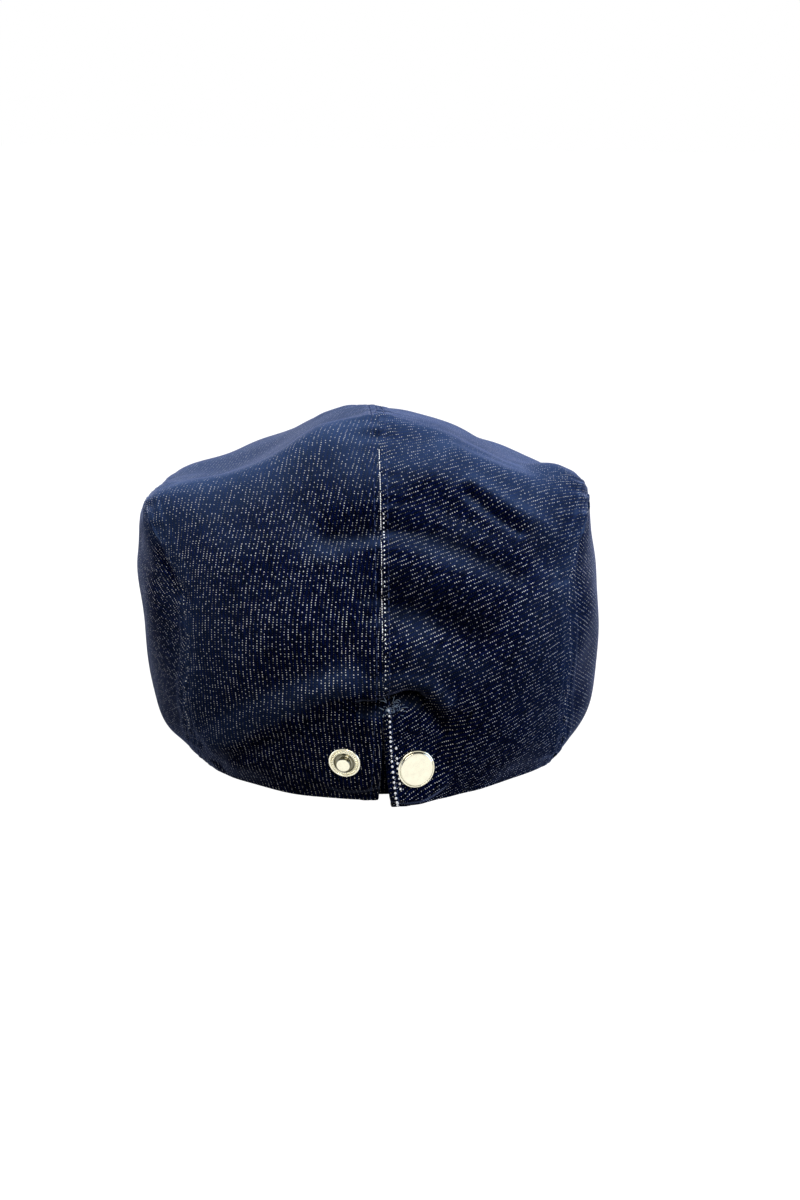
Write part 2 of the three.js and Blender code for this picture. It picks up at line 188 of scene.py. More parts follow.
# The side seam: ring level, and degrees round the cap on the left and on the right.
SEAM = np.array([
    [0, 60, -57], [1, 53, -53], [1.6, 51, -50], [2.3, 48, -49], [2.8, 49, -48], [3.25, 54, -53],
    [3.65, 61, -62], [3.95, 72, -75], [4.03, 86, -87], [3.92, 101, -101], [3.6, 120, -120],
    [2.8, 140, -140], [1.5, 152, -152], [0, 156, -156],
])
SEAM_CORNERS = (6, 11)
RISE_SHARE = 12 / 40  # share of the crown's length beside each rising stretch of the side seam
SLIT_LEVEL = 1.93
SLIT_HALF_WIDTH = {1: 0.8, -1: 3.2}  # at the rim, for the left half and the right half
FLAP_LIFT = 3
FLAP_DROP = 0.4
FLAP_SPREAD = 17
SEAT_RADIUS = 10
SEAT_FADE = 9
PEAK_FADE = 30

# Snaps: degrees round the cap and level of the place, and the way that they face, round and up.
STUD = (8.45, 1.1, 14, -8)
CAP = (-7.65, 1, -16, 7)


def smooth(x):
    k = np.clip(x, 0, 1)
    return k * k * (3 - 2 * k)


def lerp(a, b, k):
    return a + (b - a) * k


def chart(azimuth, level):
    """Places on a flat disc: the apex in the middle, the back towards +y, one unit for each ring."""
    angle = np.radians(azimuth)
    reach = TOP - np.asarray(level, float)
    return np.stack([reach * np.sin(angle), reach * np.cos(angle)], -1)


def level_of(place):
    return TOP - np.hypot(place[..., 0], place[..., 1])


def azimuth_of(place):
    return np.degrees(np.arctan2(place[..., 0], place[..., 1]))


def skin(place):
    """The smooth surface through the rings."""
    level = level_of(place)
    angle = np.arctan2(place[..., 0], place[..., 1])
    s = np.sin(angle)
    c = np.cos(angle)
    shape = (-1,) + (1,) * level.ndim
    half, back, front, side_y, z_back, z_side, z_front, full_back, full_front, bulge = (
        RINGS[:, i].reshape(shape) for i in range(RINGS.shape[1])
    )
    rear = c >= 0
    full = np.where(rear, full_back, full_front)
    across = s * (1 + full * c * c)
    x = across * (half + bulge * s)
    y = side_y + np.where(rear, back - side_y, side_y - front) * c * (1 + full * s * s)
    z = z_side + np.where(rear, z_back - z_side, z_front - z_side) * (1 - across**2)
    points = np.stack([x, y, z], -1)
    below = 2 * points[0] - points[1]
    above = 2 * points[-1] - points[-2]
    above[..., 2] = points[-2][..., 2]
    points = np.concatenate([below[None], points, above[None]])
    i = np.clip(np.floor(level).astype(int), 0, TOP - 1)
    f = (level - i)[..., None]
    index = tuple(np.indices(i.shape))
    weights = (-f + 2 * f**2 - f**3, 2 - 5 * f**2 + 3 * f**3, f + 4 * f**2 - 3 * f**3, -(f**2) + f**3)
    return sum(w / 2 * points[(i + k, *index)] for k, w in enumerate(weights))


def outward(place):
    """Direction out of the skin, level at the rim."""
    step = 2e-3
    radius = np.hypot(place[..., 0], place[..., 1])
    near = place * np.minimum(1, (TOP - step) / np.maximum(radius, step))[..., None]
    along_x = skin(near + [step, 0]) - skin(near - [step, 0])
    along_y = skin(near + [0, step]) - skin(near - [0, step])
    normal = unit(np.cross(along_x, along_y))
    normal[..., 2] *= smooth((TOP - radius) / RIM_BLEND)
    return unit(normal)


def unit(v):
    return v / np.maximum(np.linalg.norm(v, axis=-1, keepdims=True), 1e-12)


def distance_to_line(points, line):
    """Distance from each point to the nearest point of a line of points."""
    nearest = np.full(points.shape[:-1], np.inf)
    for a, b in zip(line[:-1], line[1:]):
        run = b - a
        k = np.clip(((points - a) @ run) / (run @ run), 0, 1)
        nearest = np.minimum(nearest, np.linalg.norm(points - a - k[..., None] * run, axis=-1))
    return nearest


def fold_line(azimuth_0, level_0, azimuth_1, level_1):
    return skin(chart(np.linspace(azimuth_0, azimuth_1, 5), np.linspace(level_0, level_1, 5)))


def fold_height(points, folds):
    """Each fold is a soft ridge or valley along its line."""
    total = np.zeros(points.shape[:-1])
    for *ends, width, height in folds:
        total += height * np.exp(-((distance_to_line(points, fold_line(*ends)) / width) ** 2))
    return total


def flap_height(place):
    """The right flap of the slit stands out, and the left one is pressed in a little."""
    azimuth = azimuth_of(place)
    fade = smooth((SLIT_LEVEL - level_of(place)) / SLIT_LEVEL) * np.exp(-((azimuth / FLAP_SPREAD) ** 2))
    return np.where(azimuth < 0, FLAP_LIFT, -FLAP_DROP) * fade


def rest_height(x):
    """Height of the crown's rim in front, where it lies on the peak."""
    return RIM["z_front"] * (1 - (x / (RIM["half_width"] + np.sign(x) * RIM["bulge"])) ** 2)


def seat_of(snap):
    """Middle of a snap on the cloth, the way that it faces, and the skin under it."""
    azimuth, level, face_round, face_up = snap
    place = chart(azimuth, level)
    base = skin(place)
    turn = math.radians(face_round)
    facing = unit(np.array([math.sin(turn), math.cos(turn), math.tan(math.radians(face_up))]))
    height = fold_height(base, FOLDS) + flap_height(place)
    return base + outward(place) * height, facing, base


def cloth(place, relief=0.0):
    """A point of the cloth at the given height above its outer face, and the direction out of it."""
    base = skin(place)
    out = outward(place)
    height = fold_height(base, FOLDS) + flap_height(place)
    for snap in (STUD, CAP):
        centre, facing, middle = seat_of(snap)
        pressed = 1 - smooth((np.linalg.norm(base - middle, axis=-1) - SEAT_RADIUS) / SEAT_FADE)
        pressed = np.where(place[..., 0] * snap[0] >= 0, pressed, 0)
        flat = ((centre - base) @ facing) / np.where(pressed > 0, out @ facing, 1)
        height = np.where(pressed > 0, lerp(height, flat, pressed), height)
    point = base + out * (height + relief)[..., None]
    on_peak = smooth((RIM["side_y"] - point[..., 1]) / PEAK_FADE)
    point[..., 2] = np.maximum(point[..., 2], rest_height(point[..., 0]) * on_peak)
    return point, out


def in_frame(points):
    """Millimetres round the head oval as metres in the frame."""
    return (np.asarray(points) - MIDDLE) * MM


# Panels


def seam_stretch(side, first, last):
    """A stretch of the side seam as a function of its share from 0 to 1."""
    row = SEAM[first : last + 1]
    p = chart(row[:, side], row[:, 0])
    q = np.concatenate([p[:1], p, p[-1:]])
    t = np.linspace(0, len(p) - 1, 400)
    i = np.minimum(t.astype(int), len(p) - 2)
    f = (t - i)[:, None]
    p0, p1, p2, p3 = (q[i + k] for k in range(4))
    line = 2 * p1 + (p2 - p0) * f + (2 * p0 - 5 * p1 + 4 * p2 - p3) * f**2
    line = 0.5 * (line + (3 * p1 - p0 - 3 * p2 + p3) * f**3)
    length = np.concatenate([[0], np.cumsum(np.linalg.norm(np.diff(line, axis=0), axis=1))])
    length /= length[-1]
    return lambda share: np.stack([np.interp(share, length, line[:, i]) for i in (0, 1)], -1)


def seam_stretches(side):
    """The side seam where it rises behind, runs over the side, and falls in front."""
    rise, fall = SEAM_CORNERS
    return [seam_stretch(side, a, b) for a, b in ((0, rise), (rise, fall), (fall, len(SEAM) - 1))]


def patch(low, high, left, right, u, v):
    """Places filled in between four edges: low and high run with u, left and right with v."""
    u = u[None, :, None]
    v = v[:, None, None]
    low_row, high_row = low(u[0, :, 0]), high(u[0, :, 0])
    left_row, right_row = left(v[:, 0, 0]), right(v[:, 0, 0])
    rise = lerp(low_row[None], high_row[None], v)
    run = lerp(left_row[:, None], right_row[:, None], u)
    corners = lerp(lerp(low_row[0], low_row[-1], u), lerp(high_row[0], high_row[-1], u), v)
    return rise + run - corners


# Distances of the points from a seam, close together beside it.
EDGE = np.array([0, 0.35, 0.7, 1.1, 1.5, 1.9, 2.3, 2.7, 3.1, 3.6, 4.2, 5, 6])
PRESSED = 0.22  # from a seam to where the edge of a panel begins to turn in
STITCH_COLUMN = 6  # the column of EDGE under the topstitching
STITCH_DISTANCE = EDGE[STITCH_COLUMN]


def spaced(places, first, last, step):
    """Rows of places moved along themselves: inset at both ends, close there and evenly spread between."""
    points = skin(places)
    pieces = np.linalg.norm(np.diff(points, axis=1), axis=-1)
    length = np.concatenate([np.zeros((len(places), 1)), np.cumsum(pieces, axis=1)], axis=1)
    count = int(round((length[:, -1].max() - 2 * EDGE[-1]) / step))
    first = np.broadcast_to(first, len(places))
    last = np.broadcast_to(last, len(places))
    made = []
    for row, reach, a, b in zip(places, length, first, last):
        near = a + EDGE
        far = reach[-1] - b - EDGE[::-1]
        goal = np.concatenate([near, np.linspace(near[-1], far[0], count)[1:-1], far])
        made.append(np.stack([np.interp(goal, reach, row[:, 0]), np.interp(goal, reach, row[:, 1])], -1))
    return np.array(made)


def run_lengths(points, axis):
    """Length along a grid of points up to each of them."""
    pieces = np.linalg.norm(np.diff(points, axis=axis), axis=-1)
    none = np.zeros_like(np.take(pieces, [0], axis))
    return np.concatenate([none, np.cumsum(pieces, axis=axis)], axis=axis)


def waves(points, seed, count, shortest, longest):
    """Soft seeded waves in space, about one unit high."""
    random = np.random.default_rng(seed)
    total = np.zeros(points.shape[:-1])
    for _ in range(count):
        direction = unit(random.normal(size=3)) / random.uniform(shortest, longest)
        total += np.sin(2 * np.pi * (points @ direction + random.uniform()))
    return total / math.sqrt(count / 2)


SEAM_ALLOWANCE = 5.2  # width of the cloth turned in along a seam
GROOVE = 0.22  # depth to which the topstitching pulls the cloth in


def seam_relief(distance, along, sizes, seed):
    """Cloth beside a seam: the turned-in edge under it, the groove of the stitches and the puckers."""
    ridge = sizes.seam_ridge / MM * (1 - smooth((distance - SEAM_ALLOWANCE) / 1.6))
    groove = -GROOVE * np.exp(-(((distance - STITCH_DISTANCE) / 0.5) ** 2))
    random = np.random.default_rng(seed)
    pucker = np.zeros_like(distance)
    for _ in range(5):
        pucker += np.sin(2 * np.pi * (along / random.uniform(5, 14) + random.uniform()))
    return ridge + groove + sizes.pucker / MM * pucker / 2 * np.exp(-distance / 7)


# Creases, finer than the folds of the solids: degrees and ring levels along each, width and height.
CREASES = [
    (((4.5, 1.78), (1.8, 1.8), (-0.5, 1.83), (-5, 1.9), (-8, 1.86)), 2.7, -4.6),
    (((-7, 1.88), (-10, 1.76), (-12.5, 1.6), (-14.5, 1.45)), 3.0, -2.8),
    (((0, 2.06), (-5, 2.1), (-10, 2.04), (-14, 1.82)), 3.4, 1.9),
    (((6, 2.06), (14, 1.98)), 4.5, 0.8),
    (((5, 1.8), (11.5, 1.77), (17, 1.56), (27, 1.27), (42.5, 0.68), (48, 0.3)), 4.5, -1.8),
    (((8, 2.1), (18, 1.9), (30, 1.6), (46, 1.0)), 6, 1.8),
    (((11.5, 3.83), (0.2, 3.95), (-11.2, 3.85), (-25, 3.49), (-32, 3.3)), 6.5, -2.4),
    (((-24.5, 4.36), (-29, 4.14), (-36, 3.86)), 3, -2.0),
    (((-28, 4.5), (-37, 4.15), (-47, 3.75)), 4, 0.9),
    (((-1.2, 3.1), (-12, 2.9), (-21, 2.65)), 11, -2.8),
    (((-9, 2.5), (-21, 2.3)), 8, 1.3),
    (((60.2, 3.33), (48, 2.85)), 3.5, -1.2),
    ((
        (95, 4.85), (80, 5.2), (60, 5.45), (30, 5.6), (0, 5.62), (-30, 5.52), (-50, 5.35), (-62, 5.05),
    ), 5, 0.9),
    (((74, 4.22), (68, 4.2), (60, 4.42), (50, 4.68), (38, 4.98), (28, 5.15)), 13, 5.0),
    (((-30, 5.0), (-40, 4.8), (-47, 4.68)), 8, 2.6),
    (((155, 5.5), (145, 5.4)), 7, 1.0),
    (((178, 5.6), (172, 5.4)), 6, -0.7),
    (((-172, 5.55), (-155, 5.4)), 9, -1.3),
]

# The lower edge of the right flap flares out.
FLARE = [(((-2.5, 0), (-9, 0)), 6, 2.0), (((-2.5, 0), (-17, 0)), 6, 1.0), (((-2.5, 0), (-26, 0)), 6, 0.6)]


def crease_height(points, creases):
    """Each crease is a ridge or valley along its line of places."""
    total = np.zeros(points.shape[:-1])
    for places, width, height in creases:
        stops = np.array(places, float)
        count = 3 * (len(stops) - 1) + 1
        spread = np.linspace(0, len(stops) - 1, count)
        order = np.arange(len(stops))
        line = skin(chart(np.interp(spread, order, stops[:, 0]), np.interp(spread, order, stops[:, 1])))
        total += height * np.exp(-((distance_to_line(points, line) / width) ** 2))
    return total


RUBBED_REACH = (5, 25)  # from a seam, where it is rubbed most and where it still is a little


def wear_and_crease_shade_of(crease_shade, seams):
    """Painted crease shade and wear of the cloth: from -1 in a crease, where the colour is darkened as
    painted shade, to 1 beside a seam, where it is rubbed.
    """
    rubbed = sum(0.3 * np.exp(-((distance / reach) ** 2)) for distance in seams for reach in RUBBED_REACH)
    return np.clip(crease_shade / 3.5, -1, 0.3) + rubbed


def linked(name, data):
    made = bpy.data.objects.new(name, data)
    bpy.context.scene.collection.objects.link(made)
    return made


def mesh_object(name, vertices, faces, materials, coordinates=None, face_materials=None, wear=None):
    """A mesh object at the origin, smooth, with its thread coordinates in millimetres."""
    mesh = bpy.data.meshes.new(name)
    mesh.from_pydata([tuple(v) for v in vertices], [], [tuple(f) for f in faces])
    for material in materials:
        mesh.materials.append(material)
    if face_materials is not None:
        mesh.polygons.foreach_set("material_index", np.asarray(face_materials, np.int32))
    if coordinates is not None:
        corners = np.zeros(len(mesh.loops), np.int32)
        mesh.loops.foreach_get("vertex_index", corners)
        layer = mesh.uv_layers.new(name="threads")
        layer.data.foreach_set("uv", np.asarray(coordinates, np.float32)[corners].ravel())
    # The wear attribute holds real rubbing beside the seams and painted shade in the creases.
    if wear is not None:
        mesh.attributes.new("wear", "FLOAT", "POINT").data.foreach_set("value", np.asarray(wear, np.float32))
    mesh.polygons.foreach_set("use_smooth", np.ones(len(mesh.polygons), bool))
    mesh.validate()
    mesh.update()
    return linked(name, mesh)


def edge_directions(grid):
    """The way out of a grid of points at its four edges."""
    away = np.zeros_like(grid)
    away[0] += unit(grid[0] - grid[1])
    away[-1] += unit(grid[-1] - grid[-2])
    away[:, 0] += unit(grid[:, 0] - grid[:, 1])
    away[:, -1] += unit(grid[:, -1] - grid[:, -2])
    return away


ROUND_STEPS = 5  # faces round the edge of a sheet
LOWEST = 0.02  # above the surface that the cap rests on


def shell(name, over, out, thickness, coordinates, materials, wear=None):
    """A closed sheet: its outer face, its inner face, and a round edge all the way between them."""
    rows, columns = over.shape[:2]
    thickness = np.broadcast_to(thickness, (rows, columns))
    under = over - out * thickness[..., None]
    number = np.arange(rows * columns).reshape(rows, columns)
    rim = np.concatenate([number[0, :-1], number[:-1, -1], number[-1, :0:-1], number[:0:-1, 0]])
    away = edge_directions(over)
    away -= out * np.sum(away * out, -1, keepdims=True)
    flat_over, flat_out, flat_away = over.reshape(-1, 3), out.reshape(-1, 3), unit(away).reshape(-1, 3)
    flat_onward = unit(edge_directions(coordinates)).reshape(-1, 2)
    flat = coordinates.reshape(-1, 2)
    places = [flat, flat]
    half = thickness.reshape(-1, 1)[rim] / 2
    rings = [rim]
    vertices = [flat_over, under.reshape(-1, 3)]
    total = 2 * rows * columns
    for k in range(1, ROUND_STEPS):
        turn = math.pi * k / ROUND_STEPS
        ring = flat_over[rim] + flat_away[rim] * half * math.sin(turn)
        vertices.append(ring - flat_out[rim] * half * (1 - math.cos(turn)))
        places.append(flat[rim] + flat_onward[rim] * half * turn)
        rings.append(np.arange(total, total + len(rim)))
        total += len(rim)
    rings.append(rim + rows * columns)
    outer = np.stack([number[:-1, :-1], number[:-1, 1:], number[1:, 1:], number[1:, :-1]], -1).reshape(-1, 4)
    inner = outer[:, ::-1] + rows * columns
    edges = [np.stack([a, b, np.roll(b, -1), np.roll(a, -1)], -1) for a, b in zip(rings[:-1], rings[1:])]
    faces = np.concatenate([outer, inner, *edges])
    middle = (rows // 2, columns // 2)
    across = over[middle[0], middle[1] + 1] - over[middle]
    up = over[middle[0] + 1, middle[1]] - over[middle]
    if np.cross(across, up) @ out[middle] < 0:
        faces = faces[:, ::-1]
    kinds = np.zeros(len(faces), int)
    kinds[len(outer) : len(outer) + len(inner)] = 1
    points = np.concatenate(vertices)
    points[:, 2] = np.maximum(points[:, 2], LOWEST)
    if wear is not None:
        wear = np.concatenate([wear.ravel(), wear.ravel(), *[wear.ravel()[rim]] * (ROUND_STEPS - 1)])
    return mesh_object(name, in_frame(points), faces, materials, np.concatenate(places), kinds, wear)


def thread_coordinates(points, right_hand, grain, base_row, lean=0):
    """Millimetres across and along the threads of a panel. The grain turns them against its upright."""
    across = run_lengths(points, 1) * right_hand
    up = run_lengths(points, 0)
    up = up - up[base_row]
    across = across - lean * (np.hypot(1, up / LEAN_REACH) - 1)
    return turned_threads(across, up, grain)


SIDE_LEVEL = 2.0  # ring level at the middle of the side panels


def length_round(azimuth):
    """Millimetres round the cap from its back, at the middle of the side panels."""
    stops = np.linspace(-180, 180, 361)
    length = run_lengths(skin(chart(stops, np.full(len(stops), SIDE_LEVEL))), 0)
    return np.interp(azimuth, stops, length - length[len(stops) // 2])


def turned_threads(across, up, grain):
    turn = math.radians(grain)
    return np.stack([
        across * math.cos(turn) + up * math.sin(turn),
        up * math.cos(turn) - across * math.sin(turn),
    ], -1)


TURN_IN = 0.25  # ring levels over which the turned-in cloth of the slit begins
THREAD_LEVEL = 2.6  # ring level where the threads of the crown are counted from

# Degrees that the threads of each half of the crown are turned against its upright.
GRAIN = {"crown_left_cloth": 27, "crown_right_cloth": -36}

# Threads of the left half bend: how far they swing out above and below, and how soon.
LEAN = {"crown_left_cloth": 13}
LEAN_REACH = 50

PANELS = {}  # name of a panel: its outer points, the directions out, the lengths across and along, and its places


def crown_panel(name, side):
    """Half of the crown, from the rim at the back over the top to the rim at the front."""
    sizes = bpy.context.scene.cap_cloth
    cloth_mm = sizes.thickness / MM
    step = sizes.mesh_step / MM
    sign = 1 if side == 1 else -1
    rear, over, front = seam_stretches(side)

    def seam(v):
        low = rear(np.clip(v / RISE_SHARE, 0, 1))
        middle = over(np.clip((v - RISE_SHARE) / (1 - 2 * RISE_SHARE), 0, 1))
        high = front(np.clip((v - 1 + RISE_SHARE) / RISE_SHARE, 0, 1))
        return np.where((v < RISE_SHARE)[:, None], low, np.where((v > 1 - RISE_SHARE)[:, None], high, middle))

    v = np.linspace(0, 1, 420)
    places = patch(
        lambda u: chart(SEAM[0, side] * u, 0),
        lambda u: chart(lerp(sign * 180, SEAM[-1, side], u), 0),
        lambda w: np.stack([np.zeros_like(w), TOP * (1 - 2 * w)], -1),
        seam,
        np.linspace(0, 1, 200),
        v,
    )
    level = TOP * 2 * v
    opening = smooth(1 - level / SLIT_LEVEL) * SLIT_HALF_WIDTH[sign]
    turned_in = smooth((SLIT_LEVEL - level) / TURN_IN)
    edge = lerp(cloth_mm, sizes.hem_thickness / MM, turned_in)
    places = spaced(places, opening + lerp(PRESSED, edge / 2, turned_in), PRESSED, step)
    places = spaced(places.transpose(1, 0, 2), cloth_mm / 2, cloth_mm / 2, step).transpose(1, 0, 2)
    base = skin(places)
    across = run_lengths(base, 1)
    along = run_lengths(base, 0)
    to_seam = across[:, -1:] - across
    open_part = smooth((SLIT_LEVEL - level_of(places)) / TURN_IN) * (places[..., 1] > 0)
    relief = crease_height(base, CREASES)
    # Painted shade in the creases, from their depth, and real rubbing beside the seam.
    wear = wear_and_crease_shade_of(relief, [to_seam])
    if sign < 0:
        relief += crease_height(base, FLARE)
    relief += sizes.wave / MM * waves(base, sizes.seed, 12, 20, 60)
    relief += seam_relief(across, along, sizes, sizes.seed + 10 + sign)
    relief += seam_relief(to_seam, along, sizes, sizes.seed + 20 + sign)
    point, out = cloth(places, relief)
    near_slit = open_part * (1 - smooth((across - 4) / 3))
    thickness = lerp(cloth_mm, sizes.hem_thickness / MM, near_slit)
    base_row = int(np.argmin(np.abs(level_of(places[: len(places) // 2, 0]) - THREAD_LEVEL)))
    coordinates = thread_coordinates(base, -sign, GRAIN[name], base_row, LEAN.get(name, 0))
    PANELS[name] = {"points": point, "out": out, "across": across, "along": along, "places": places}
    return shell(name, point, out, thickness, coordinates, [denim_face(), denim_reverse()], wear)


def side_panel(name, side):
    """The panel between the rim and the side seam."""
    sizes = bpy.context.scene.cap_cloth
    cloth_mm = sizes.thickness / MM
    step = sizes.mesh_step / MM
    sign = 1 if side == 1 else -1
    rear, over, front = seam_stretches(side)
    places = patch(
        lambda u: chart(lerp(SEAM[0, side], SEAM[-1, side], u), 0),
        over,
        rear,
        lambda w: front(1 - w),
        np.linspace(0, 1, 300),
        np.linspace(0, 1, 200),
    )
    places = spaced(places, PRESSED, PRESSED, step)
    places = spaced(places.transpose(1, 0, 2), cloth_mm / 2, PRESSED, step).transpose(1, 0, 2)
    base = skin(places)
    across = run_lengths(base, 1)
    along = run_lengths(base, 0)
    relief = crease_height(base, CREASES)
    # Painted shade in the creases, from their depth, and real rubbing beside the seams.
    wear = wear_and_crease_shade_of(relief, [across, across[:, -1:] - across])
    relief += sizes.wave / MM * waves(base, sizes.seed, 12, 20, 60)
    seams = ((across, along), (across[:, -1:] - across, along), (along[-1:] - along, across))
    for k, (distance, run) in enumerate(seams):
        relief += seam_relief(distance, run, sizes, sizes.seed + 40 + 10 * k + sign)
    point, out = cloth(places, relief)
    coordinates = turned_threads(-length_round(azimuth_of(places)), base[..., 2], 90)
    PANELS[name] = {"points": point, "out": out, "across": across, "along": along, "places": places}
    return shell(name, point, out, cloth_mm, coordinates, [denim_face(), denim_reverse()], wear)


# Materials

# Kinds of node that are used often, and settings
MATH = "ShaderNodeMath"
VECTOR_MATH = "ShaderNodeVectorMath"
MAP_RANGE = "ShaderNodeMapRange"
MIX = "ShaderNodeMix"
COMBINE = "ShaderNodeCombineXYZ"
SEPARATE = "ShaderNodeSeparateXYZ"
PRINCIPLED = "ShaderNodeBsdfPrincipled"
COLOURS = {"data_type": "RGBA"}
TINTED = {"data_type": "RGBA", "blend_type": "MULTIPLY"}
CLAMPED = {"operation": "MULTIPLY", "use_clamp": True}
FLAT_NOISE = {"noise_dimensions": "2D"}
THREADS = {"uv_map": "threads"}


def add(tree, kind, settings=None, inputs=None, output=0):
    """Adds a node and gives its output. Its settings are a dictionary, or its operation alone, and its
    inputs, in a dictionary or in order, are values or other nodes' outputs."""
    made = tree.nodes.new(kind)
    if isinstance(settings, str):
        settings = {"operation": settings}
    for name, value in (settings or {}).items():
        setattr(made, name, value)
    for key, value in inputs.items() if isinstance(inputs, dict) else enumerate(inputs or ()):
        socket = made.inputs[key]
        if isinstance(value, bpy.types.NodeSocket):
            tree.links.new(value, socket)
        else:
            socket.default_value = value
    return made.outputs[output] if made.outputs else made


def new_material(name):
    """An empty material, or the finished one of that name and True."""
    found = bpy.data.materials.get(name)
    if found is not None:
        return found, True
    made = bpy.data.materials.new(name)
    made.use_nodes = True
    made.node_tree.nodes.clear()
    return made, False


def rgba(colour):
    return (*colour[:3], 1.0)


def twill(tree, look, reverse):
    """Colour and height of a three-up one-down twill, from the thread coordinates of the panel."""
    coordinates = add(tree, "ShaderNodeUVMap", THREADS)
    # Threads wander by about a tenth of a millimetre.
    drift = {"Vector": coordinates, "Scale": 0.35, "Detail": 2.0}
    drift = add(tree, "ShaderNodeTexNoise", FLAT_NOISE, drift, 1)
    centred = add(tree, VECTOR_MATH, "SUBTRACT", [drift, (0.5, 0.5, 0.5)])
    drifted = add(tree, VECTOR_MATH, "MULTIPLY_ADD", [centred, (0.55, 0.55, 0.0), coordinates])
    counts = add(tree, VECTOR_MATH, "DIVIDE", [drifted, (look.warp_pitch / MM, look.weft_pitch / MM, 1.0)])
    ends = add(tree, SEPARATE, None, [counts], 0)
    picks = ends.node.outputs[1]
    pick = add(tree, MATH, "FLOOR", [picks])
    stepped = add(tree, MATH, "SUBTRACT", [ends, pick])
    end = add(tree, MATH, "FLOOR", [stepped])
    in_end = add(tree, MATH, "FRACT", [stepped])
    in_pick = add(tree, MATH, "FRACT", [picks])
    turn = add(tree, MATH, "FLOORED_MODULO", [end, 4.0])
    is_float = add(tree, MATH, "LESS_THAN", [turn, 0.5])
    # An undyed thread shows as a small round fleck where it passes over one indigo thread.
    x = add(tree, MATH, "MULTIPLY_ADD", [in_end, 2.4, -1.2])
    y = add(tree, MATH, "MULTIPLY_ADD", [in_pick, 3.8, -1.9])
    place = add(tree, COMBINE, None, [x, y])
    reach = add(tree, VECTOR_MATH, "LENGTH", [place], 1)
    dot = add(tree, MAP_RANGE, {"interpolation_type": "SMOOTHSTEP"}, [reach, 0.75, 1.1, 1.0, 0.0])
    cell = add(tree, COMBINE, None, [end, pick])
    chance = add(tree, "ShaderNodeTexWhiteNoise", FLAT_NOISE, {"Vector": cell})
    bright = add(tree, MATH, "POWER", [chance, 4.0])
    bright = add(tree, MATH, "MULTIPLY_ADD", [bright, 4.4, 0.04])
    # Whole stretches of a thread show more or less, because it is uneven.
    patchy = add(
        tree, "ShaderNodeTexNoise", FLAT_NOISE,
        {"Vector": coordinates, "Scale": 0.12, "Detail": 3.0, "Roughness": 0.6},
    )
    patchy = add(tree, MAP_RANGE, None, [patchy, 0.32, 0.68, 0.7, 1.1])
    fleck = add(tree, MATH, "MULTIPLY", [dot, is_float])
    fleck = add(tree, MATH, "MULTIPLY", [fleck, bright])
    fleck = add(tree, MATH, CLAMPED, [fleck, patchy])
    # Painted light: the flecks are painted brighter low down, where the cloth lies in shade, and fainter
    # towards the top.
    height_up = add(tree, "ShaderNodeTexCoord", None, None, 3)
    height_up = add(tree, SEPARATE, None, [height_up], 2)
    painted_fleck_light = add(tree, MAP_RANGE, None, [height_up, 0.02, 0.135, 1.3, 0.62])
    fleck = add(tree, MATH, CLAMPED, [fleck, painted_fleck_light])
    # Each indigo thread has its own depth of dye, which changes along it.
    warp_number = add(tree, MATH, "FLOOR", [ends])
    own = add(tree, "ShaderNodeTexWhiteNoise", {"noise_dimensions": "1D"}, {"W": warp_number})
    slub_place = add(tree, VECTOR_MATH, "MULTIPLY", [coordinates, (2.1, 0.14, 0.0)])
    slub = add(tree, "ShaderNodeTexNoise", FLAT_NOISE, {"Vector": slub_place, "Scale": 1.0, "Detail": 3.0})
    crossing = add(tree, COMBINE, None, [warp_number, pick])
    crossing = add(tree, "ShaderNodeTexWhiteNoise", FLAT_NOISE, {"Vector": crossing})
    dye = add(tree, MATH, "MULTIPLY_ADD", [own, 0.25, slub])
    dye = add(tree, MATH, "MULTIPLY_ADD", [crossing, 0.15, dye])
    dye = add(tree, MAP_RANGE, None, [dye, 0.4, 1.0, 0.0, 1.0])
    indigo = add(tree, MIX, COLOURS, {0: dye, 6: rgba(look.warp_dark), 7: rgba(look.warp_light)}, 2)
    # The grooves between the ribs of the twill lie in shade, and the flecks lie in them.
    across_rib = add(tree, MATH, "MULTIPLY_ADD", [stepped, math.pi / 2, -math.pi / 4])
    across_rib = add(tree, MATH, "COSINE", [across_rib])
    shade = add(tree, MAP_RANGE, None, [across_rib, 1.0, -1.0, 0.06, 1.1])
    indigo = add(tree, MIX, {**TINTED, "clamp_factor": False}, {0: 1.0, 6: indigo, 7: shade}, 2)
    if reverse:
        fleck = add(tree, MATH, "SUBTRACT", [0.85, fleck])
    colour = add(tree, MIX, COLOURS, {0: fleck, 6: indigo, 7: rgba(look.weft)}, 2)
    # The slanting ribs of the twill, with the flecks in the grooves between them.
    round_thread = add(tree, MATH, "PINGPONG", [ends, 0.5])
    height = add(tree, MATH, "MULTIPLY_ADD", [across_rib, -0.5, round_thread])
    height = add(tree, MATH, "ADD", [height, slub])
    return colour, height


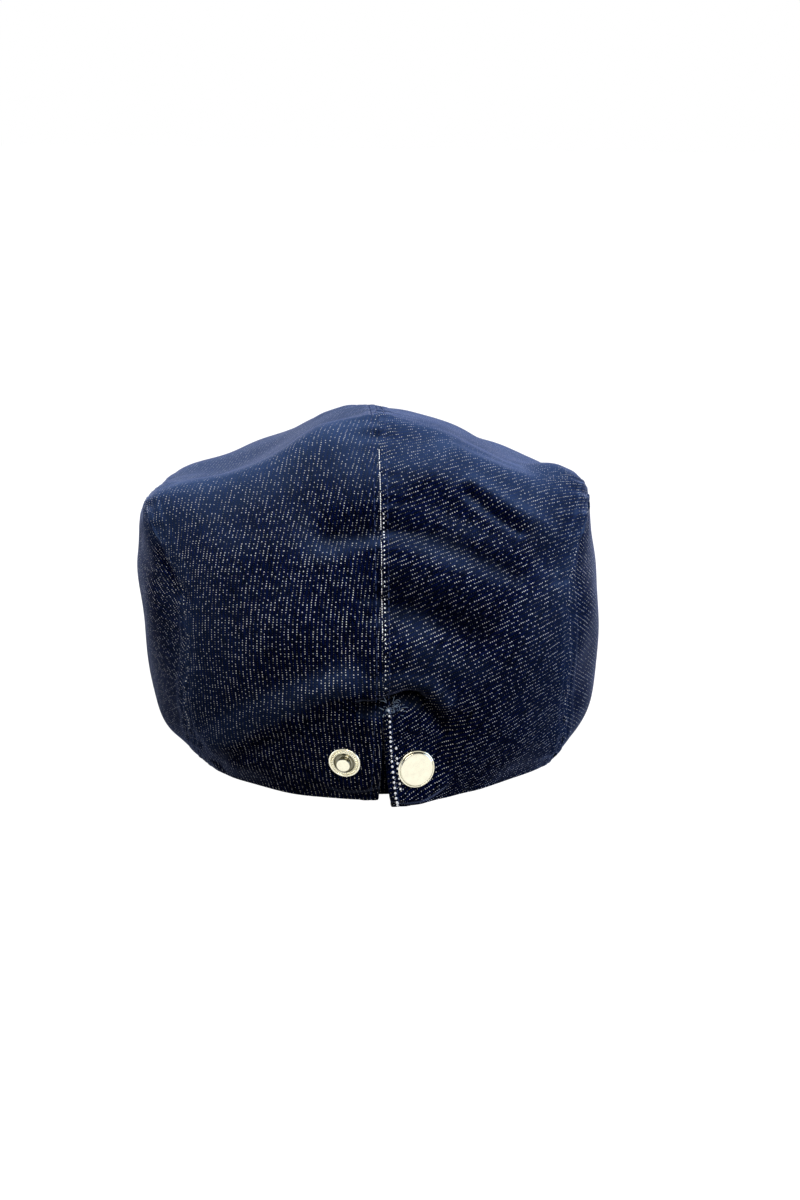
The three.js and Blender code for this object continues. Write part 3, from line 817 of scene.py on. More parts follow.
def denim_material(name, reverse):
    """Raw indigo denim: a warp-faced cotton twill, woven. It looks dark blue and matt, with slanting rows
    of off-white flecks, and a soft lighter blue where it is seen nearly edge on."""
    made, finished = new_material(name)
    if finished:
        return made
    look = bpy.context.scene.cap_denim
    tree = made.node_tree
    colour, height = twill(tree, look, reverse)
    # Painted top light: a lighter blue on the parts that face up. The same blue beside the seams is real
    # wear, where the cloth is rubbed.
    facing = add(tree, "ShaderNodeNewGeometry", None, None, 1)
    facing = add(tree, SEPARATE, None, [facing], 2)
    wear_and_crease_shade = add(tree, "ShaderNodeAttribute", {"attribute_name": "wear"}, None, 2)
    top_light_and_rub = add(tree, MAP_RANGE, None, [facing, 0.5, 0.95, 0.0, 0.36])
    rubbed = add(tree, MATH, "MAXIMUM", [wear_and_crease_shade, 0.0])
    top_light_and_rub = add(tree, MATH, {"operation": "MULTIPLY_ADD", "use_clamp": True}, [rubbed, 0.4, top_light_and_rub])
    colour = add(tree, MIX, COLOURS, {0: top_light_and_rub, 6: colour, 7: rgba(look.top_light_and_rub)}, 2)
    # Painted shade: the colour is darkened in the creases, down to a fifth, where shade falls.
    crease_shade = add(tree, MAP_RANGE, None, [wear_and_crease_shade, -0.15, -0.9, 1.0, 0.2])
    colour = add(tree, MIX, TINTED, {0: 1.0, 6: colour, 7: crease_shade}, 2)
    edge_on = add(tree, "ShaderNodeLayerWeight", None, {"Blend": 0.5}, 1)
    sheen = add(tree, MAP_RANGE, None, [edge_on, 0.55, 0.88, 0.02, 0.7])
    bump = add(tree, "ShaderNodeBump", None, {"Height": height, "Strength": 0.5, "Distance": 0.00016})
    surface = add(tree, PRINCIPLED, None, {
        "Base Color": colour,
        "Roughness": 0.92,
        "IOR": 1.45,
        "Specular IOR Level": 0.0,
        "Sheen Weight": sheen,
        "Sheen Roughness": 0.45,
        "Sheen Tint": rgba(look.fuzz),
        "Normal": bump,
    })
    add(tree, "ShaderNodeOutputMaterial", None, {"Surface": surface})
    return made


def denim_face():
    return denim_material("raw_indigo_denim_twill", False)


def denim_reverse():
    return denim_material("raw_indigo_denim_reverse", True)


def thread_material(name, colour, roughness, painted_glow=0.0):
    """Spun cotton thread: matt and fibrous, with a fine twist that breaks up the light. It can glow evenly in
    its own colour, as painted light that makes it brighter than the lamps alone."""
    made, finished = new_material(name)
    if finished:
        return made
    tree = made.node_tree
    place = add(tree, "ShaderNodeTexCoord", None, None, 3)
    fibres = add(tree, "ShaderNodeTexNoise", None, {"Vector": place, "Scale": 2600.0, "Detail": 2.0})
    shade = add(tree, MAP_RANGE, None, [fibres, 0.3, 0.7, 0.7, 1.15])
    tint = add(tree, MIX, TINTED, {0: 1.0, 6: rgba(colour), 7: shade}, 2)
    bump = add(tree, "ShaderNodeBump", None, {"Height": fibres, "Strength": 0.4, "Distance": 0.00008})
    # Painted light: an even glow in the thread's own colour.
    surface = add(tree, PRINCIPLED, None, {
        "Base Color": tint, "Roughness": roughness, "IOR": 1.5, "Specular IOR Level": 0.2, "Normal": bump,
        "Emission Color": rgba(colour), "Emission Strength": painted_glow,
    })
    add(tree, "ShaderNodeOutputMaterial", None, {"Surface": surface})
    return made


def nickel_material(name, roughness, first, last, fade, share):
    """Nickel plate on stamped brass, tumbled bright: a mirror with a warm cast and faint fine scratches.
    Between two radii its colour is painted dark olive, as painted shade in the hollow of the open half and on
    the turned edge of the closed half."""
    made, finished = new_material(name)
    if finished:
        return made
    look = bpy.context.scene.cap_snap
    tree = made.node_tree
    place = add(tree, "ShaderNodeTexCoord", None, None, 3)
    scratches = {"Vector": place, "Scale": 420.0, "Detail": 4.0, "Roughness": 0.65}
    wear = add(tree, "ShaderNodeTexNoise", None, scratches)
    rough = add(tree, MAP_RANGE, None, [wear, 0.35, 0.7, roughness * 0.7, roughness * 1.6])
    dull = add(tree, MAP_RANGE, None, [wear, 0.3, 0.75, 1.0, 0.9])
    tint = add(tree, MIX, TINTED, {0: 1.0, 6: rgba(look.metal), 7: dull}, 2)
    radius = add(tree, "ShaderNodeUVMap", THREADS)
    radius = add(tree, SEPARATE, None, [radius], 0)
    # Painted shade: dark olive between the radii first and last.
    inside = add(tree, MAP_RANGE, None, [radius, first, first + 0.2, 0.0, share])
    outside = add(tree, MAP_RANGE, None, [radius, last - fade, last, 1.0, 0.0])
    painted_shade_share = add(tree, MATH, "MULTIPLY", [inside, outside])
    tint = add(tree, MIX, COLOURS, {0: painted_shade_share, 6: tint, 7: rgba(look.painted_hollow_shade)}, 2)
    bump = add(tree, "ShaderNodeBump", None, {"Height": wear, "Strength": 0.12, "Distance": 0.00005})
    surface = add(tree, PRINCIPLED, None, {
        "Base Color": tint, "Metallic": 1.0, "Roughness": rough, "Normal": bump,
    })
    add(tree, "ShaderNodeOutputMaterial", None, {"Surface": surface})
    return made


# Geometry Nodes


def grown(source, tree_name, values):
    """Runs a geometry tree on an object with named values, and gives the result as a plain mesh object."""
    tree = geometry_tree(tree_name)
    modifier = source.modifiers.new("grow", "NODES")
    identifiers = {
        item.name: item.identifier
        for item in tree.interface.items_tree
        if item.item_type == "SOCKET" and item.in_out == "INPUT"
    }
    modifier.node_group = tree
    for label, value in values.items():
        modifier[identifiers[label]] = value
    depsgraph = bpy.context.evaluated_depsgraph_get()
    mesh = bpy.data.meshes.new_from_object(source.evaluated_get(depsgraph))
    name = source.name
    source.modifiers.remove(modifier)
    base = source.data
    bpy.data.objects.remove(source)
    if base.users == 0:
        bpy.data.meshes.remove(base)
    mesh.name = name
    return linked(name, mesh)


def path_object(name, paths):
    """Lines of points with the direction out of the cloth at each, for a geometry tree."""
    vertices = np.concatenate([points for points, _ in paths])
    lifts = np.concatenate([out for _, out in paths])
    edges = []
    start = 0
    for points, _ in paths:
        edges += [(start + i, start + i + 1) for i in range(len(points) - 1)]
        start += len(points)
    mesh = bpy.data.meshes.new(name)
    mesh.from_pydata([tuple(v) for v in in_frame(vertices)], edges, [])
    attribute = mesh.attributes.new("lift", "FLOAT_VECTOR", "POINT")
    attribute.data.foreach_set("vector", lifts.astype(np.float32).ravel())
    return linked(name, mesh)


def stitch_row(tree, given):
    """Stitches along lines: small bent threads laid along them, half sunk in the cloth."""
    curve = add(tree, "GeometryNodeMeshToCurve", None, [given["Paths"]])
    pitch = {"Curve": curve, "Length": given["Pitch"]}
    points = add(tree, "GeometryNodeResampleCurve", {"mode": "LENGTH"}, pitch)
    tangent = add(tree, "GeometryNodeInputTangent")
    lift = add(tree, "GeometryNodeInputNamedAttribute", {"data_type": "FLOAT_VECTOR"}, {"Name": "lift"})
    along = add(tree, "FunctionNodeAlignRotationToVector", {"axis": "X"}, {"Vector": tangent})
    turned = add(
        tree, "FunctionNodeAlignRotationToVector", {"axis": "Z", "pivot_axis": "X"},
        {"Rotation": along, "Vector": lift},
    )
    thread = add(tree, "GeometryNodeMeshUVSphere", None, {"Segments": 8, "Rings": 5, "Radius": 0.5})
    thread = add(tree, "GeometryNodeSetShadeSmooth", None, {"Geometry": thread})
    varied = add(
        tree, "FunctionNodeRandomValue", {"data_type": "FLOAT"},
        {2: 0.8, 3: 1.2, "Seed": given["Seed"]}, 1,
    )
    length = add(tree, MATH, "MULTIPLY", [given["Length"], varied])
    width = add(tree, MATH, "MULTIPLY", [given["Width"], varied])
    size = add(tree, COMBINE, None, [length, width, given["Width"]])
    shown = add(
        tree, "FunctionNodeRandomValue", {"data_type": "BOOLEAN"},
        {"Probability": given["Share Shown"], "Seed": given["Seed"]}, 3,
    )
    placed = add(tree, "GeometryNodeInstanceOnPoints", None, {
        "Points": points, "Selection": shown, "Instance": thread, "Rotation": turned, "Scale": size,
    })
    low = add(tree, MATH, "MULTIPLY", [given["Sideways"], -1.0])
    from_place = add(tree, COMBINE, None, [low, low, 0.0])
    to_place = add(tree, COMBINE, None, [given["Sideways"], given["Sideways"], 0.0])
    wander = add(
        tree, "FunctionNodeRandomValue", {"data_type": "FLOAT_VECTOR"},
        {0: from_place, 1: to_place, "Seed": given["Seed"]}, 0,
    )
    moved = add(
        tree, "GeometryNodeTranslateInstances", None,
        {"Instances": placed, "Translation": wander, "Local Space": True},
    )
    return moved


def loose_thread(tree, given):
    """Loose threads: thin round tubes along lines."""
    curve = add(tree, "GeometryNodeMeshToCurve", None, [given["Paths"]])
    radius = add(tree, MATH, "DIVIDE", [given["Width"], 2.0])
    ring = {"Resolution": 6, "Radius": radius}
    ring = add(tree, "GeometryNodeCurvePrimitiveCircle", {"mode": "RADIUS"}, ring)
    tube = {"Curve": curve, "Profile Curve": ring, "Fill Caps": True}
    tube = add(tree, "GeometryNodeCurveToMesh", None, tube)
    return add(tree, "GeometryNodeSetShadeSmooth", None, {"Geometry": tube})


def rib_ring(tree, given):
    """Radial ribs on a ring in the plane of X and Y: rounded bars on the slope between two radii."""
    reach = add(tree, MATH, "ADD", [given["Inner Radius"], given["Outer Radius"]])
    reach = add(tree, MATH, "MULTIPLY", [reach, 0.5])
    height = add(tree, MATH, "ADD", [given["Inner Height"], given["Outer Height"]])
    height = add(tree, MATH, "MULTIPLY", [height, 0.5])
    circle = add(tree, "GeometryNodeMeshCircle", None, {"Vertices": given["Count"], "Radius": reach})
    lift = add(tree, COMBINE, None, {2: height})
    circle = add(tree, "GeometryNodeTransform", None, {"Geometry": circle, "Translation": lift})
    place = add(tree, "GeometryNodeInputPosition")
    level = add(tree, VECTOR_MATH, "MULTIPLY", [place, (1.0, 1.0, 0.0)])
    radial = add(tree, VECTOR_MATH, "NORMALIZE", [level])
    long = add(tree, MATH, "SUBTRACT", [given["Outer Radius"], given["Inner Radius"]])
    drop = add(tree, MATH, "SUBTRACT", [given["Outer Height"], given["Inner Height"]])
    sloped = add(tree, VECTOR_MATH, "SCALE", {0: radial, "Scale": long})
    fall = add(tree, COMBINE, None, {2: drop})
    direction = add(tree, VECTOR_MATH, "ADD", [sloped, fall])
    along = add(tree, "FunctionNodeAlignRotationToVector", {"axis": "X"}, {"Vector": direction})
    turned = add(
        tree, "FunctionNodeAlignRotationToVector", {"axis": "Z", "pivot_axis": "X"},
        {"Rotation": along, "Vector": (0.0, 0.0, 1.0)},
    )
    rib = add(tree, "GeometryNodeMeshUVSphere", None, {"Segments": 8, "Rings": 6, "Radius": 0.5})
    rib = add(tree, "GeometryNodeSetShadeSmooth", None, {"Geometry": rib})
    round_length = add(tree, MATH, "MULTIPLY", [reach, 2 * math.pi * 0.55])
    width = add(tree, MATH, "DIVIDE", [round_length, given["Count"]])
    tall = add(tree, MATH, "MULTIPLY", [given["Rib Height"], 2.0])
    size = add(tree, COMBINE, None, [long, width, tall])
    placed = add(tree, "GeometryNodeInstanceOnPoints", None, {
        "Points": circle, "Instance": rib, "Rotation": turned, "Scale": size,
    })
    joined = add(tree, "GeometryNodeJoinGeometry", None, [placed])
    tree.links.new(given["Turned Piece"], joined.node.inputs[0])
    return joined


# Geometry trees: the function that fills each, and its inputs with their kinds
TREES = {
    "stitch_row": (stitch_row, {
        "Paths": "Geometry", "Pitch": "Float", "Length": "Float", "Width": "Float", "Sideways": "Float",
        "Share Shown": "Float", "Seed": "Int", "Material": "Material",
    }),
    "loose_threads": (loose_thread, {"Paths": "Geometry", "Width": "Float", "Material": "Material"}),
    "rib_ring": (rib_ring, {
        "Turned Piece": "Geometry", "Count": "Int", "Inner Radius": "Float", "Outer Radius": "Float",
        "Inner Height": "Float", "Outer Height": "Float", "Rib Height": "Float", "Material": "Material",
    }),
}


def geometry_tree(name):
    """A geometry tree with its named inputs, filled when it is first asked for. It ends in real meshes."""
    found = bpy.data.node_groups.get(name)
    if found is not None:
        return found
    fill, sockets = TREES[name]
    tree = bpy.data.node_groups.new(name, "GeometryNodeTree")
    for label, kind in sockets.items():
        tree.interface.new_socket(name=label, in_out="INPUT", socket_type="NodeSocket" + kind)
    tree.interface.new_socket(name="Geometry", in_out="OUTPUT", socket_type="NodeSocketGeometry")
    given = tree.nodes.new("NodeGroupInput").outputs
    real = add(tree, "GeometryNodeRealizeInstances", None, {"Geometry": fill(tree, given)})
    finished = add(tree, "GeometryNodeSetMaterial", None, {"Geometry": real, "Material": given["Material"]})
    add(tree, "NodeGroupOutput", None, [finished])
    return tree


# Turned pieces


def bend(centre, radius, start, stop, steps):
    """Points of a profile round a bend, by angles in degrees."""
    turns = np.radians(np.linspace(start, stop, steps))
    return [(centre[0] + radius * math.cos(t), centre[1] + radius * math.sin(t)) for t in turns]


def turned_object(name, profile, segments, material):
    """A profile of radius and height, from pole to pole, turned round Z in millimetres."""
    profile = np.array(profile, float)
    angles = np.linspace(0, 2 * np.pi, segments, endpoint=False)
    rings = profile[1:-1]
    points = np.stack([
        np.outer(rings[:, 0], np.cos(angles)),
        np.outer(rings[:, 0], np.sin(angles)),
        np.repeat(rings[:, 1:], segments, axis=1),
    ], -1).reshape(-1, 3)
    points = np.concatenate([points, [(0, 0, profile[0, 1]), (0, 0, profile[-1, 1])]])
    number = np.arange(len(rings) * segments).reshape(len(rings), segments)
    after = np.roll(number, -1, axis=1)
    faces = np.stack([number[:-1], number[1:], after[1:], after[:-1]], -1).reshape(-1, 4).tolist()
    first, last = len(points) - 2, len(points) - 1
    faces += [[first, a, b] for a, b in zip(number[0], after[0])]
    faces += [[last, b, a] for a, b in zip(number[-1], after[-1])]
    radius = np.hypot(points[:, 0], points[:, 1])
    return mesh_object(name, points * MM, faces, [material], np.stack([radius, points[:, 2]], -1))


def seated(made, snap):
    """Moves a turned piece from the origin onto its place on the cloth."""
    centre, facing, _ = seat_of(snap)
    turn = Vector((0, 0, 1)).rotation_difference(Vector(facing)).to_matrix().to_4x4()
    made.data.transform(Matrix.Translation(Vector(in_frame(centre))) @ turn)
    made.data.update()
    return made


def finish_piece(made, slot, *nodes):
    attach(made, "root")
    if nodes:
        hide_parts(*nodes)
    return made


# Operators


class CrownOperator(bpy.types.Operator):
    """Build both halves of the crown"""

    bl_idname = "cap.crown"
    bl_label = "Crown Panels"

    def execute(self, context):
        for name, side in (("crown_left", 1), ("crown_right", 2)):
            made = finish_piece(crown_panel(name + "_cloth", side), "denim", name)
        return {"FINISHED"}


class SideOperator(bpy.types.Operator):
    """Build both side panels"""

    bl_idname = "cap.sides"
    bl_label = "Side Panels"

    def execute(self, context):
        for name, side in (("side_left", 1), ("side_right", 2)):
            made = finish_piece(side_panel(name + "_cloth", side), "denim", name)
        return {"FINISHED"}


# The peak, in millimetres and in degrees round the cap
PEAK_SHOWN = 16  # in front of the crown, in the middle
PEAK_TUCKED = 2  # under the crown, at the ends
PEAK_ENDS = 112
PEAK_THICKNESS = 3.4
PEAK_GAP = 0.3  # under the crown
PEAK_ROWS = 60


class PeakOperator(bpy.types.Operator):
    """Build the cloth-covered peak under the front of the crown"""

    bl_idname = "cap.peak"
    bl_label = "Peak"

    def execute(self, context):
        share = np.linspace(-1, 1, 181)
        outer = skin(chart(180 - share * (180 - PEAK_ENDS), np.zeros_like(share)))
        x = outer[:, 0]
        oval = np.sqrt(np.clip(1 - (x / RIM["half_width"]) ** 2, 0, 1))
        opening = RIM["side_y"] - (RIM["side_y"] + RIM["back"]) * oval
        edge = outer[:, 1] - lerp(PEAK_SHOWN, -PEAK_TUCKED, share**2)
        top = np.maximum(0, rest_height(x) - PEAK_GAP)
        thick = top - np.maximum(0, top - PEAK_THICKNESS)
        length = np.maximum(opening - edge, 1)
        rows = np.linspace(0, 1, PEAK_ROWS)[:, None]
        inset = thick / 2 / length
        y = lerp(opening, edge, inset + rows * (1 - 2 * inset))
        points = np.stack([np.broadcast_to(x, y.shape), y, np.broadcast_to(top, y.shape)], -1).copy()
        out = np.zeros_like(points)
        out[..., 2] = 1
        coordinates = points[..., :2]
        thick = np.broadcast_to(np.maximum(thick, 0.05), y.shape)
        made = shell("peak_covered", points, out, thick, coordinates, [denim_face(), denim_face()])
        finish_piece(made, "denim", "peak")
        return {"FINISHED"}


CLEAR = 0.4  # between the cloth and what lies on it
WALL = 2.0  # thickness of the crown's wall
UNDERLAP_GRAIN = 32.5


class UnderlapOperator(bpy.types.Operator):
    """Build the strip of cloth behind the slit"""

    bl_idname = "cap.underlap"
    bl_label = "Slit Underlap"

    def execute(self, context):
        azimuth = np.linspace(-4.2, 5.5, 25)
        level = np.linspace(0.12, 2.05, 61)
        places = chart(azimuth[None, :], level[:, None])
        base = skin(places)
        out = outward(places)
        depth = -WALL - CLEAR - FLAP_DROP
        points = base + out * (fold_height(base, FOLDS) + crease_height(base, CREASES) + depth)[..., None]
        coordinates = thread_coordinates(points, -1, UNDERLAP_GRAIN, 0)
        cloths = [denim_face(), denim_reverse()]
        # Painted shade: the strip behind the slit is marked as a deep crease, which darkens its colour to
        # about two fifths.
        painted_underlap_shade = np.full(points.shape[:-1], -0.7)
        made = shell("slit_underlap_cloth", points, out, 1.0, coordinates, cloths, painted_underlap_shade)
        finish_piece(made, "denim", "slit_underlap")
        return {"FINISHED"}


INSIDE = -2.4  # inner face of the cloth, where the parts on the other side begin
SHANK = 1.6


class StudOperator(bpy.types.Operator):
    """Build the open half of the snap, with its ribbed ring and its post"""

    bl_idname = "cap.stud"
    bl_label = "Snap Stud"

    def execute(self, context):
        look = context.scene.cap_snap
        metal = nickel_material("nickel_plated_brass_stamped", 0.2, 2.45, 4.5, 0.5, 0.85)
        profile = [
            (0, 3.62), (1.4, 3.6), (2.2, 3.55), *bend((2.35, 3.1), 0.45, 80, 0, 6), (2.78, 2.9), (2.6, 2.3),
            (2.35, 1.5), (2.35, 0.8), (2.5, 0.56), (2.9, 0.5), (3.5, 0.5), (3.85, 0.62), (4.0, 1.1),
            (4.05, 1.5), (4.15, 1.62), (4.35, 1.6), (4.8, 1.4), (5.25, 1.2), (5.35, 1.2),
            *bend((5.78, 1.03), 0.47, 165, -40, 16), (6.14, 0.55), (6.0, CLEAR), (SHANK, CLEAR),
            (SHANK, INSIDE), (4.9, INSIDE),
            (5.0, INSIDE - 0.1), (5.0, INSIDE - 0.7), (4.9, INSIDE - 0.8), (0, INSIDE - 0.8),
        ]
        made = turned_object("snap_stud_metal", profile, 96, metal)
        made = grown(made, "rib_ring", {
            "Count": look.ribs,
            "Inner Radius": 4.2 * MM,
            "Outer Radius": 5.4 * MM,
            "Inner Height": 1.6 * MM,
            "Outer Height": 1.2 * MM,
            "Rib Height": look.rib_height,
            "Material": metal,
        })
        finish_piece(seated(made, STUD), "snap_metal", "snap_stud")
        return {"FINISHED"}


class SnapCapOperator(bpy.types.Operator):
    """Build the closed half of the snap, a plain bright cap"""

    bl_idname = "cap.snap_cap"
    bl_label = "Snap Cap"

    def execute(self, context):
        metal = nickel_material("nickel_plated_brass_polished", 0.1, 6.2, 6.75, 0.2, 0.2)
        profile = [
            (0, 2.05), (1.5, 2.04), (3.0, 2.0), (4.5, 1.94), (5.6, 1.87), (6.1, 1.82),
            *bend((6.15, 1.2), 0.6, 85, 20, 8), (6.85, 1.16),
            *bend((7.02, 0.9), 0.42, 125, -60, 12), (7.1, CLEAR + 0.02), (SHANK, CLEAR), (SHANK, INSIDE),
            (5.9, INSIDE), (6.0, INSIDE - 0.1), (6.0, INSIDE - 1.5), (5.8, INSIDE - 1.6), (4.4, INSIDE - 2.3),
            (4.2, INSIDE - 2.4), (2.8, INSIDE - 2.4), (2.7, INSIDE - 2.3), (2.7, INSIDE - 1.05),
            (2.6, INSIDE - 1.0), (0, INSIDE - 1.0),
        ]
        made = turned_object("snap_cap_metal", profile, 128, metal)
        finish_piece(seated(made, CAP), "snap_metal", "snap_cap")
        return {"FINISHED"}


def panel_path(panel, row, column, lift):
    """A line along a column or a row of a panel's points, lifted off the cloth."""
    out = panel["out"][row, column]
    return panel["points"][row, column] + out * lift, out


def sew(name, lines, thread, seed, pitch, length, width, wander, shown):
    """A row of stitches along lines. The sizes are in millimetres, and a share of the stitches is shown."""
    made = grown(path_object(name, lines), "stitch_row", {
        "Pitch": pitch * MM, "Length": length * MM, "Width": width * MM,
        "Sideways": wander * MM, "Share Shown": shown, "Seed": seed, "Material": thread,
    })
    finish_piece(made, "denim")


class StitchOperator(bpy.types.Operator):
    """Sew the seams and the slit"""

    bl_idname = "cap.stitches"
    bl_label = "Stitches"

    def execute(self, context):
        sizes = context.scene.cap_stitch
        navy = thread_material("cotton_sewing_thread_navy", sizes.colour, 0.85)
        # The undyed thread glows at 0.4 as painted light, so the flecks show white in shade.
        undyed = thread_material("cotton_thread_undyed", context.scene.cap_denim.weft, 0.9, 0.4)
        left = PANELS["crown_left_cloth"]
        right = PANELS["crown_right_cloth"]
        sides = (PANELS["side_left_cloth"], PANELS["side_right_cloth"])
        levels = level_of(right["places"][:, 0])
        behind = levels[: len(levels) // 2]
        beside_slit = np.flatnonzero(behind < 1.76)[2:]
        beside_snap = np.flatnonzero((behind > 0.7) & (behind < 1.35))
        low_seam = np.flatnonzero((behind >= SLIT_LEVEL + 0.1) & (behind < 4.1))
        high_seam = np.flatnonzero((behind > 2.6) & (behind < 4.9))

        stitched = [panel_path(panel, slice(2, -2), STITCH_COLUMN, 0.05) for panel in (left, right)]
        edge = [panel_path(right, beside_slit, 4, 0.36), panel_path(right, beside_snap, 9, 0.2)]
        side_lines = []
        for panel in sides:
            side_lines.append(panel_path(panel, slice(30, -14), 1, 0.03))
            side_lines.append(panel_path(panel, -2, slice(14, -14), 0.03))

        lengths = (sizes.pitch / MM, sizes.length / MM, sizes.thread / MM)
        sew("topstitching", stitched, navy, 3, *lengths, 0.0, 1.0)
        sew("edge_flecks", edge, undyed, 5, 2.1, 1.0, 0.95, 0.1, 0.95)
        sew("seam_flecks", [panel_path(right, low_seam, 2, 0.06)], undyed, 6, 1.7, 0.6, 0.5, 0.12, 0.8)
        sew("seam_thread", [panel_path(left, high_seam, 0, 0.08)], undyed, 9, 1.0, 0.95, 0.26, 0.06, 0.85)
        sew("side_seam_flecks", side_lines, undyed, 11, 1.5, 0.45, 0.25, 0.15, 0.6)
        return {"FINISHED"}


FRAY_SEED = 21
FRAY_POINTS = 9
FRAY_WIDTH = 0.2


class FrayOperator(bpy.types.Operator):
    """Add the loose threads at the top of the slit"""

    bl_idname = "cap.fray"
    bl_label = "Loose Threads"

    def execute(self, context):
        sizes = context.scene.cap_stitch
        random = np.random.default_rng(FRAY_SEED)
        paths = []
        for _ in range(sizes.fray_count):
            start = chart(random.uniform(-4.0, -0.3), random.uniform(1.72, 1.82))
            base, out = cloth(start[None], crease_height(skin(start[None]), CREASES))
            side = unit(np.cross(out[0], [0, 0, 1.0]))
            heading = random.uniform(0, 2 * np.pi)
            curl = random.uniform(-2.6, 2.6)
            length = random.uniform(1.2, 2.8)
            share = np.linspace(0, 1, FRAY_POINTS)
            turn = heading + curl * share
            step = length / (FRAY_POINTS - 1)
            x = np.cumsum(np.cos(turn)) * step
            z = np.cumsum(np.sin(turn)) * step
            height = 0.5 + 1.4 * random.uniform(0.2, 1) * np.sin(np.pi * share * random.uniform(0.5, 1))
            points = base[0] + np.outer(x, side) + np.outer(z, [0, 0, 1.0]) + np.outer(height, out[0])
            paths.append((points, np.repeat(out, FRAY_POINTS, axis=0)))
        made = path_object("loose_threads", paths)
        fray = thread_material("cotton_fray_blue_grey", sizes.fray, 0.95)
        made = grown(made, "loose_threads", {"Width": FRAY_WIDTH * MM, "Material": fray})
        finish_piece(made, "denim")
        return {"FINISHED"}


def look_from(target, elevation, turn, roll, distance):
    """Camera matrix: turned round the back of the cap, above the surface, and tilted."""
    level = math.cos(elevation)
    back = Vector((math.sin(turn) * level, math.cos(turn) * level, math.sin(elevation)))
    right = (-back).cross(Vector((0, 0, 1))).normalized()
    up = right.cross(-back)
    tilted_right = right * math.cos(roll) + up * math.sin(roll)
    tilted_up = up * math.cos(roll) - right * math.sin(roll)
    matrix = Matrix((tilted_right, tilted_up, back)).transposed().to_4x4()
    matrix.translation = Vector(target) + back * distance
    return matrix


def area_light(name, place, target, size, power, colour):
    data = bpy.data.lights.new(name, "AREA")
    data.shape = "RECTANGLE"
    data.size, data.size_y = size
    data.energy = power
    data.color = linear(colour)
    made = linked(name, data)
    made.location = place
    made.rotation_euler = (Vector(target) - Vector(place)).to_track_quat("-Z", "Y").to_euler()
    return made


FLOOR_CORNERS = 64
FLOOR_REACH = 20.0

# Lights: place, size and power, and the colour of each
LIGHTS = {
    "overhead": ((0.0, -0.1, 1.15), (0.9, 0.6), 19.0, "#ffffff"),
    "window_right": ((-1.0, 0.3, 0.25), (0.6, 0.6), 6.0, "#b9d2ff"),
    "window_left": ((1.0, 0.1, 0.35), (0.6, 0.6), 3.0, "#dfe8ff"),
    "window_back": ((-0.1, 1.2, 0.75), (0.8, 0.4), 7.0, "#fffaf2"),
}
LIT_POINT = (0.0, 0.02, 0.07)


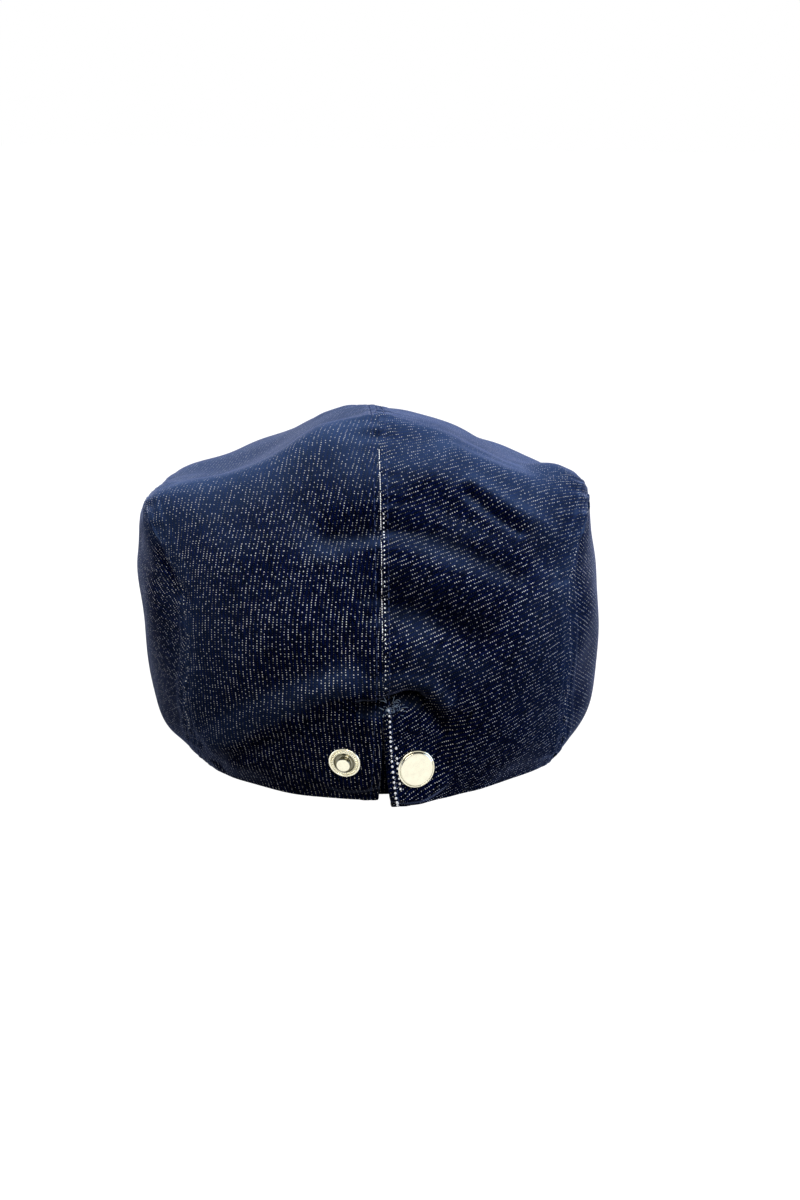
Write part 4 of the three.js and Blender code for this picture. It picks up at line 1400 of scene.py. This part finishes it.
class StageOperator(bpy.types.Operator):
    """Set up the floor, the lights and the camera"""

    bl_idname = "cap.stage"
    bl_label = "Stage"

    def execute(self, context):
        sizes = context.scene.cap_stage
        # Matt white paper board: bright and even, with no gloss.
        paper, finished = new_material("matt_white_board")
        if not finished:
            tree = paper.node_tree
            surface = add(tree, PRINCIPLED, None, {
                "Base Color": rgba(sizes.floor), "Roughness": 0.9, "Specular IOR Level": 0.1,
                "Emission Color": (1.0, 1.0, 1.0, 1.0), "Emission Strength": 1.0,
            })
            add(tree, "ShaderNodeOutputMaterial", None, {"Surface": surface})
        angles = np.linspace(0, 2 * np.pi, FLOOR_CORNERS, endpoint=False)
        vertices = [(FLOOR_REACH * math.cos(a), FLOOR_REACH * math.sin(a), 0.0) for a in angles]
        floor = mesh_object("floor", vertices, [list(range(FLOOR_CORNERS))], [paper])
        floor.visible_diffuse = False

        world = bpy.data.worlds.new("studio")
        context.scene.world = world
        world.use_nodes = True
        world.cycles_visibility.diffuse = False
        tree = world.node_tree
        tree.nodes.clear()
        direction = add(tree, "ShaderNodeTexCoord", None, None, 0)
        up = add(tree, SEPARATE, None, [direction], 2)
        up = add(tree, MAP_RANGE, None, [up, -1.0, 1.0, 0.0, 1.0])
        ramp = add(tree, "ShaderNodeValToRGB", None, [up])
        points = ramp.node.color_ramp.elements
        points[0].position = 0.44
        points[0].color = (0.02, 0.02, 0.025, 1)
        points[1].position = 0.46
        points[1].color = (1, 1, 1, 1)
        for place, value in ((0.555, 1.0), (0.6, 0.1), (0.9, 0.08), (1.0, 0.3)):
            points.new(place).color = (value, value, value, 1)
        glow = add(tree, "ShaderNodeBackground", None, {"Color": ramp, "Strength": 1.0})
        add(tree, "ShaderNodeOutputWorld", None, {"Surface": glow})

        for name, (place, size, power, colour) in LIGHTS.items():
            light = area_light(name, place, LIT_POINT, size, power, colour)
            light.visible_glossy = name != "overhead"

        data = bpy.data.cameras.new("camera")
        data.lens = sizes.lens
        data.sensor_width = 36
        data.clip_start = 0.01
        data.clip_end = 50
        camera = linked("camera", data)
        target = in_frame((-10.5, 30, 61))
        camera.matrix_world = look_from(target, sizes.elevation, sizes.turn, sizes.roll, sizes.distance)
        context.scene.camera = camera
        context.scene.view_settings.view_transform = "Standard"
        context.scene.view_settings.look = "None"
        return {"FINISHED"}


OPERATORS = (
    StageOperator,
    CrownOperator,
    SideOperator,
    PeakOperator,
    UnderlapOperator,
    StudOperator,
    SnapCapOperator,
    StitchOperator,
    FrayOperator,
)


class CapPanel(bpy.types.Panel):
    """Sizes, colours and build steps of the cap"""

    bl_idname = "VIEW3D_PT_flat_cap"
    bl_label = "Flat Cap"
    bl_space_type = "VIEW_3D"
    bl_region_type = "UI"
    bl_category = "Flat Cap"

    def draw(self, context):
        for operator in OPERATORS:
            self.layout.operator(operator.bl_idname)
        for name in SETTINGS:
            settings = getattr(context.scene, name)
            box = self.layout.box()
            for key in settings.bl_rna.properties.keys():
                if key not in ("rna_type", "name"):
                    box.prop(settings, key)


def register():
    for name, group in SETTINGS.items():
        bpy.utils.register_class(group)
        setattr(bpy.types.Scene, name, PointerProperty(type=group))
    for made in (*OPERATORS, CapPanel):
        bpy.utils.register_class(made)


def unregister():
    for made in reversed((*OPERATORS, CapPanel)):
        bpy.utils.unregister_class(made)
    for name, group in reversed(SETTINGS.items()):
        delattr(bpy.types.Scene, name)
        bpy.utils.unregister_class(group)


def main():
    register()
    bpy.ops.cap.stage()
    bpy.ops.cap.crown()
    bpy.ops.cap.sides()
    bpy.ops.cap.peak()
    bpy.ops.cap.underlap()
    bpy.ops.cap.stud()
    bpy.ops.cap.snap_cap()
    bpy.ops.cap.stitches()
    bpy.ops.cap.fray()


if __name__ == "__main__":
    main()
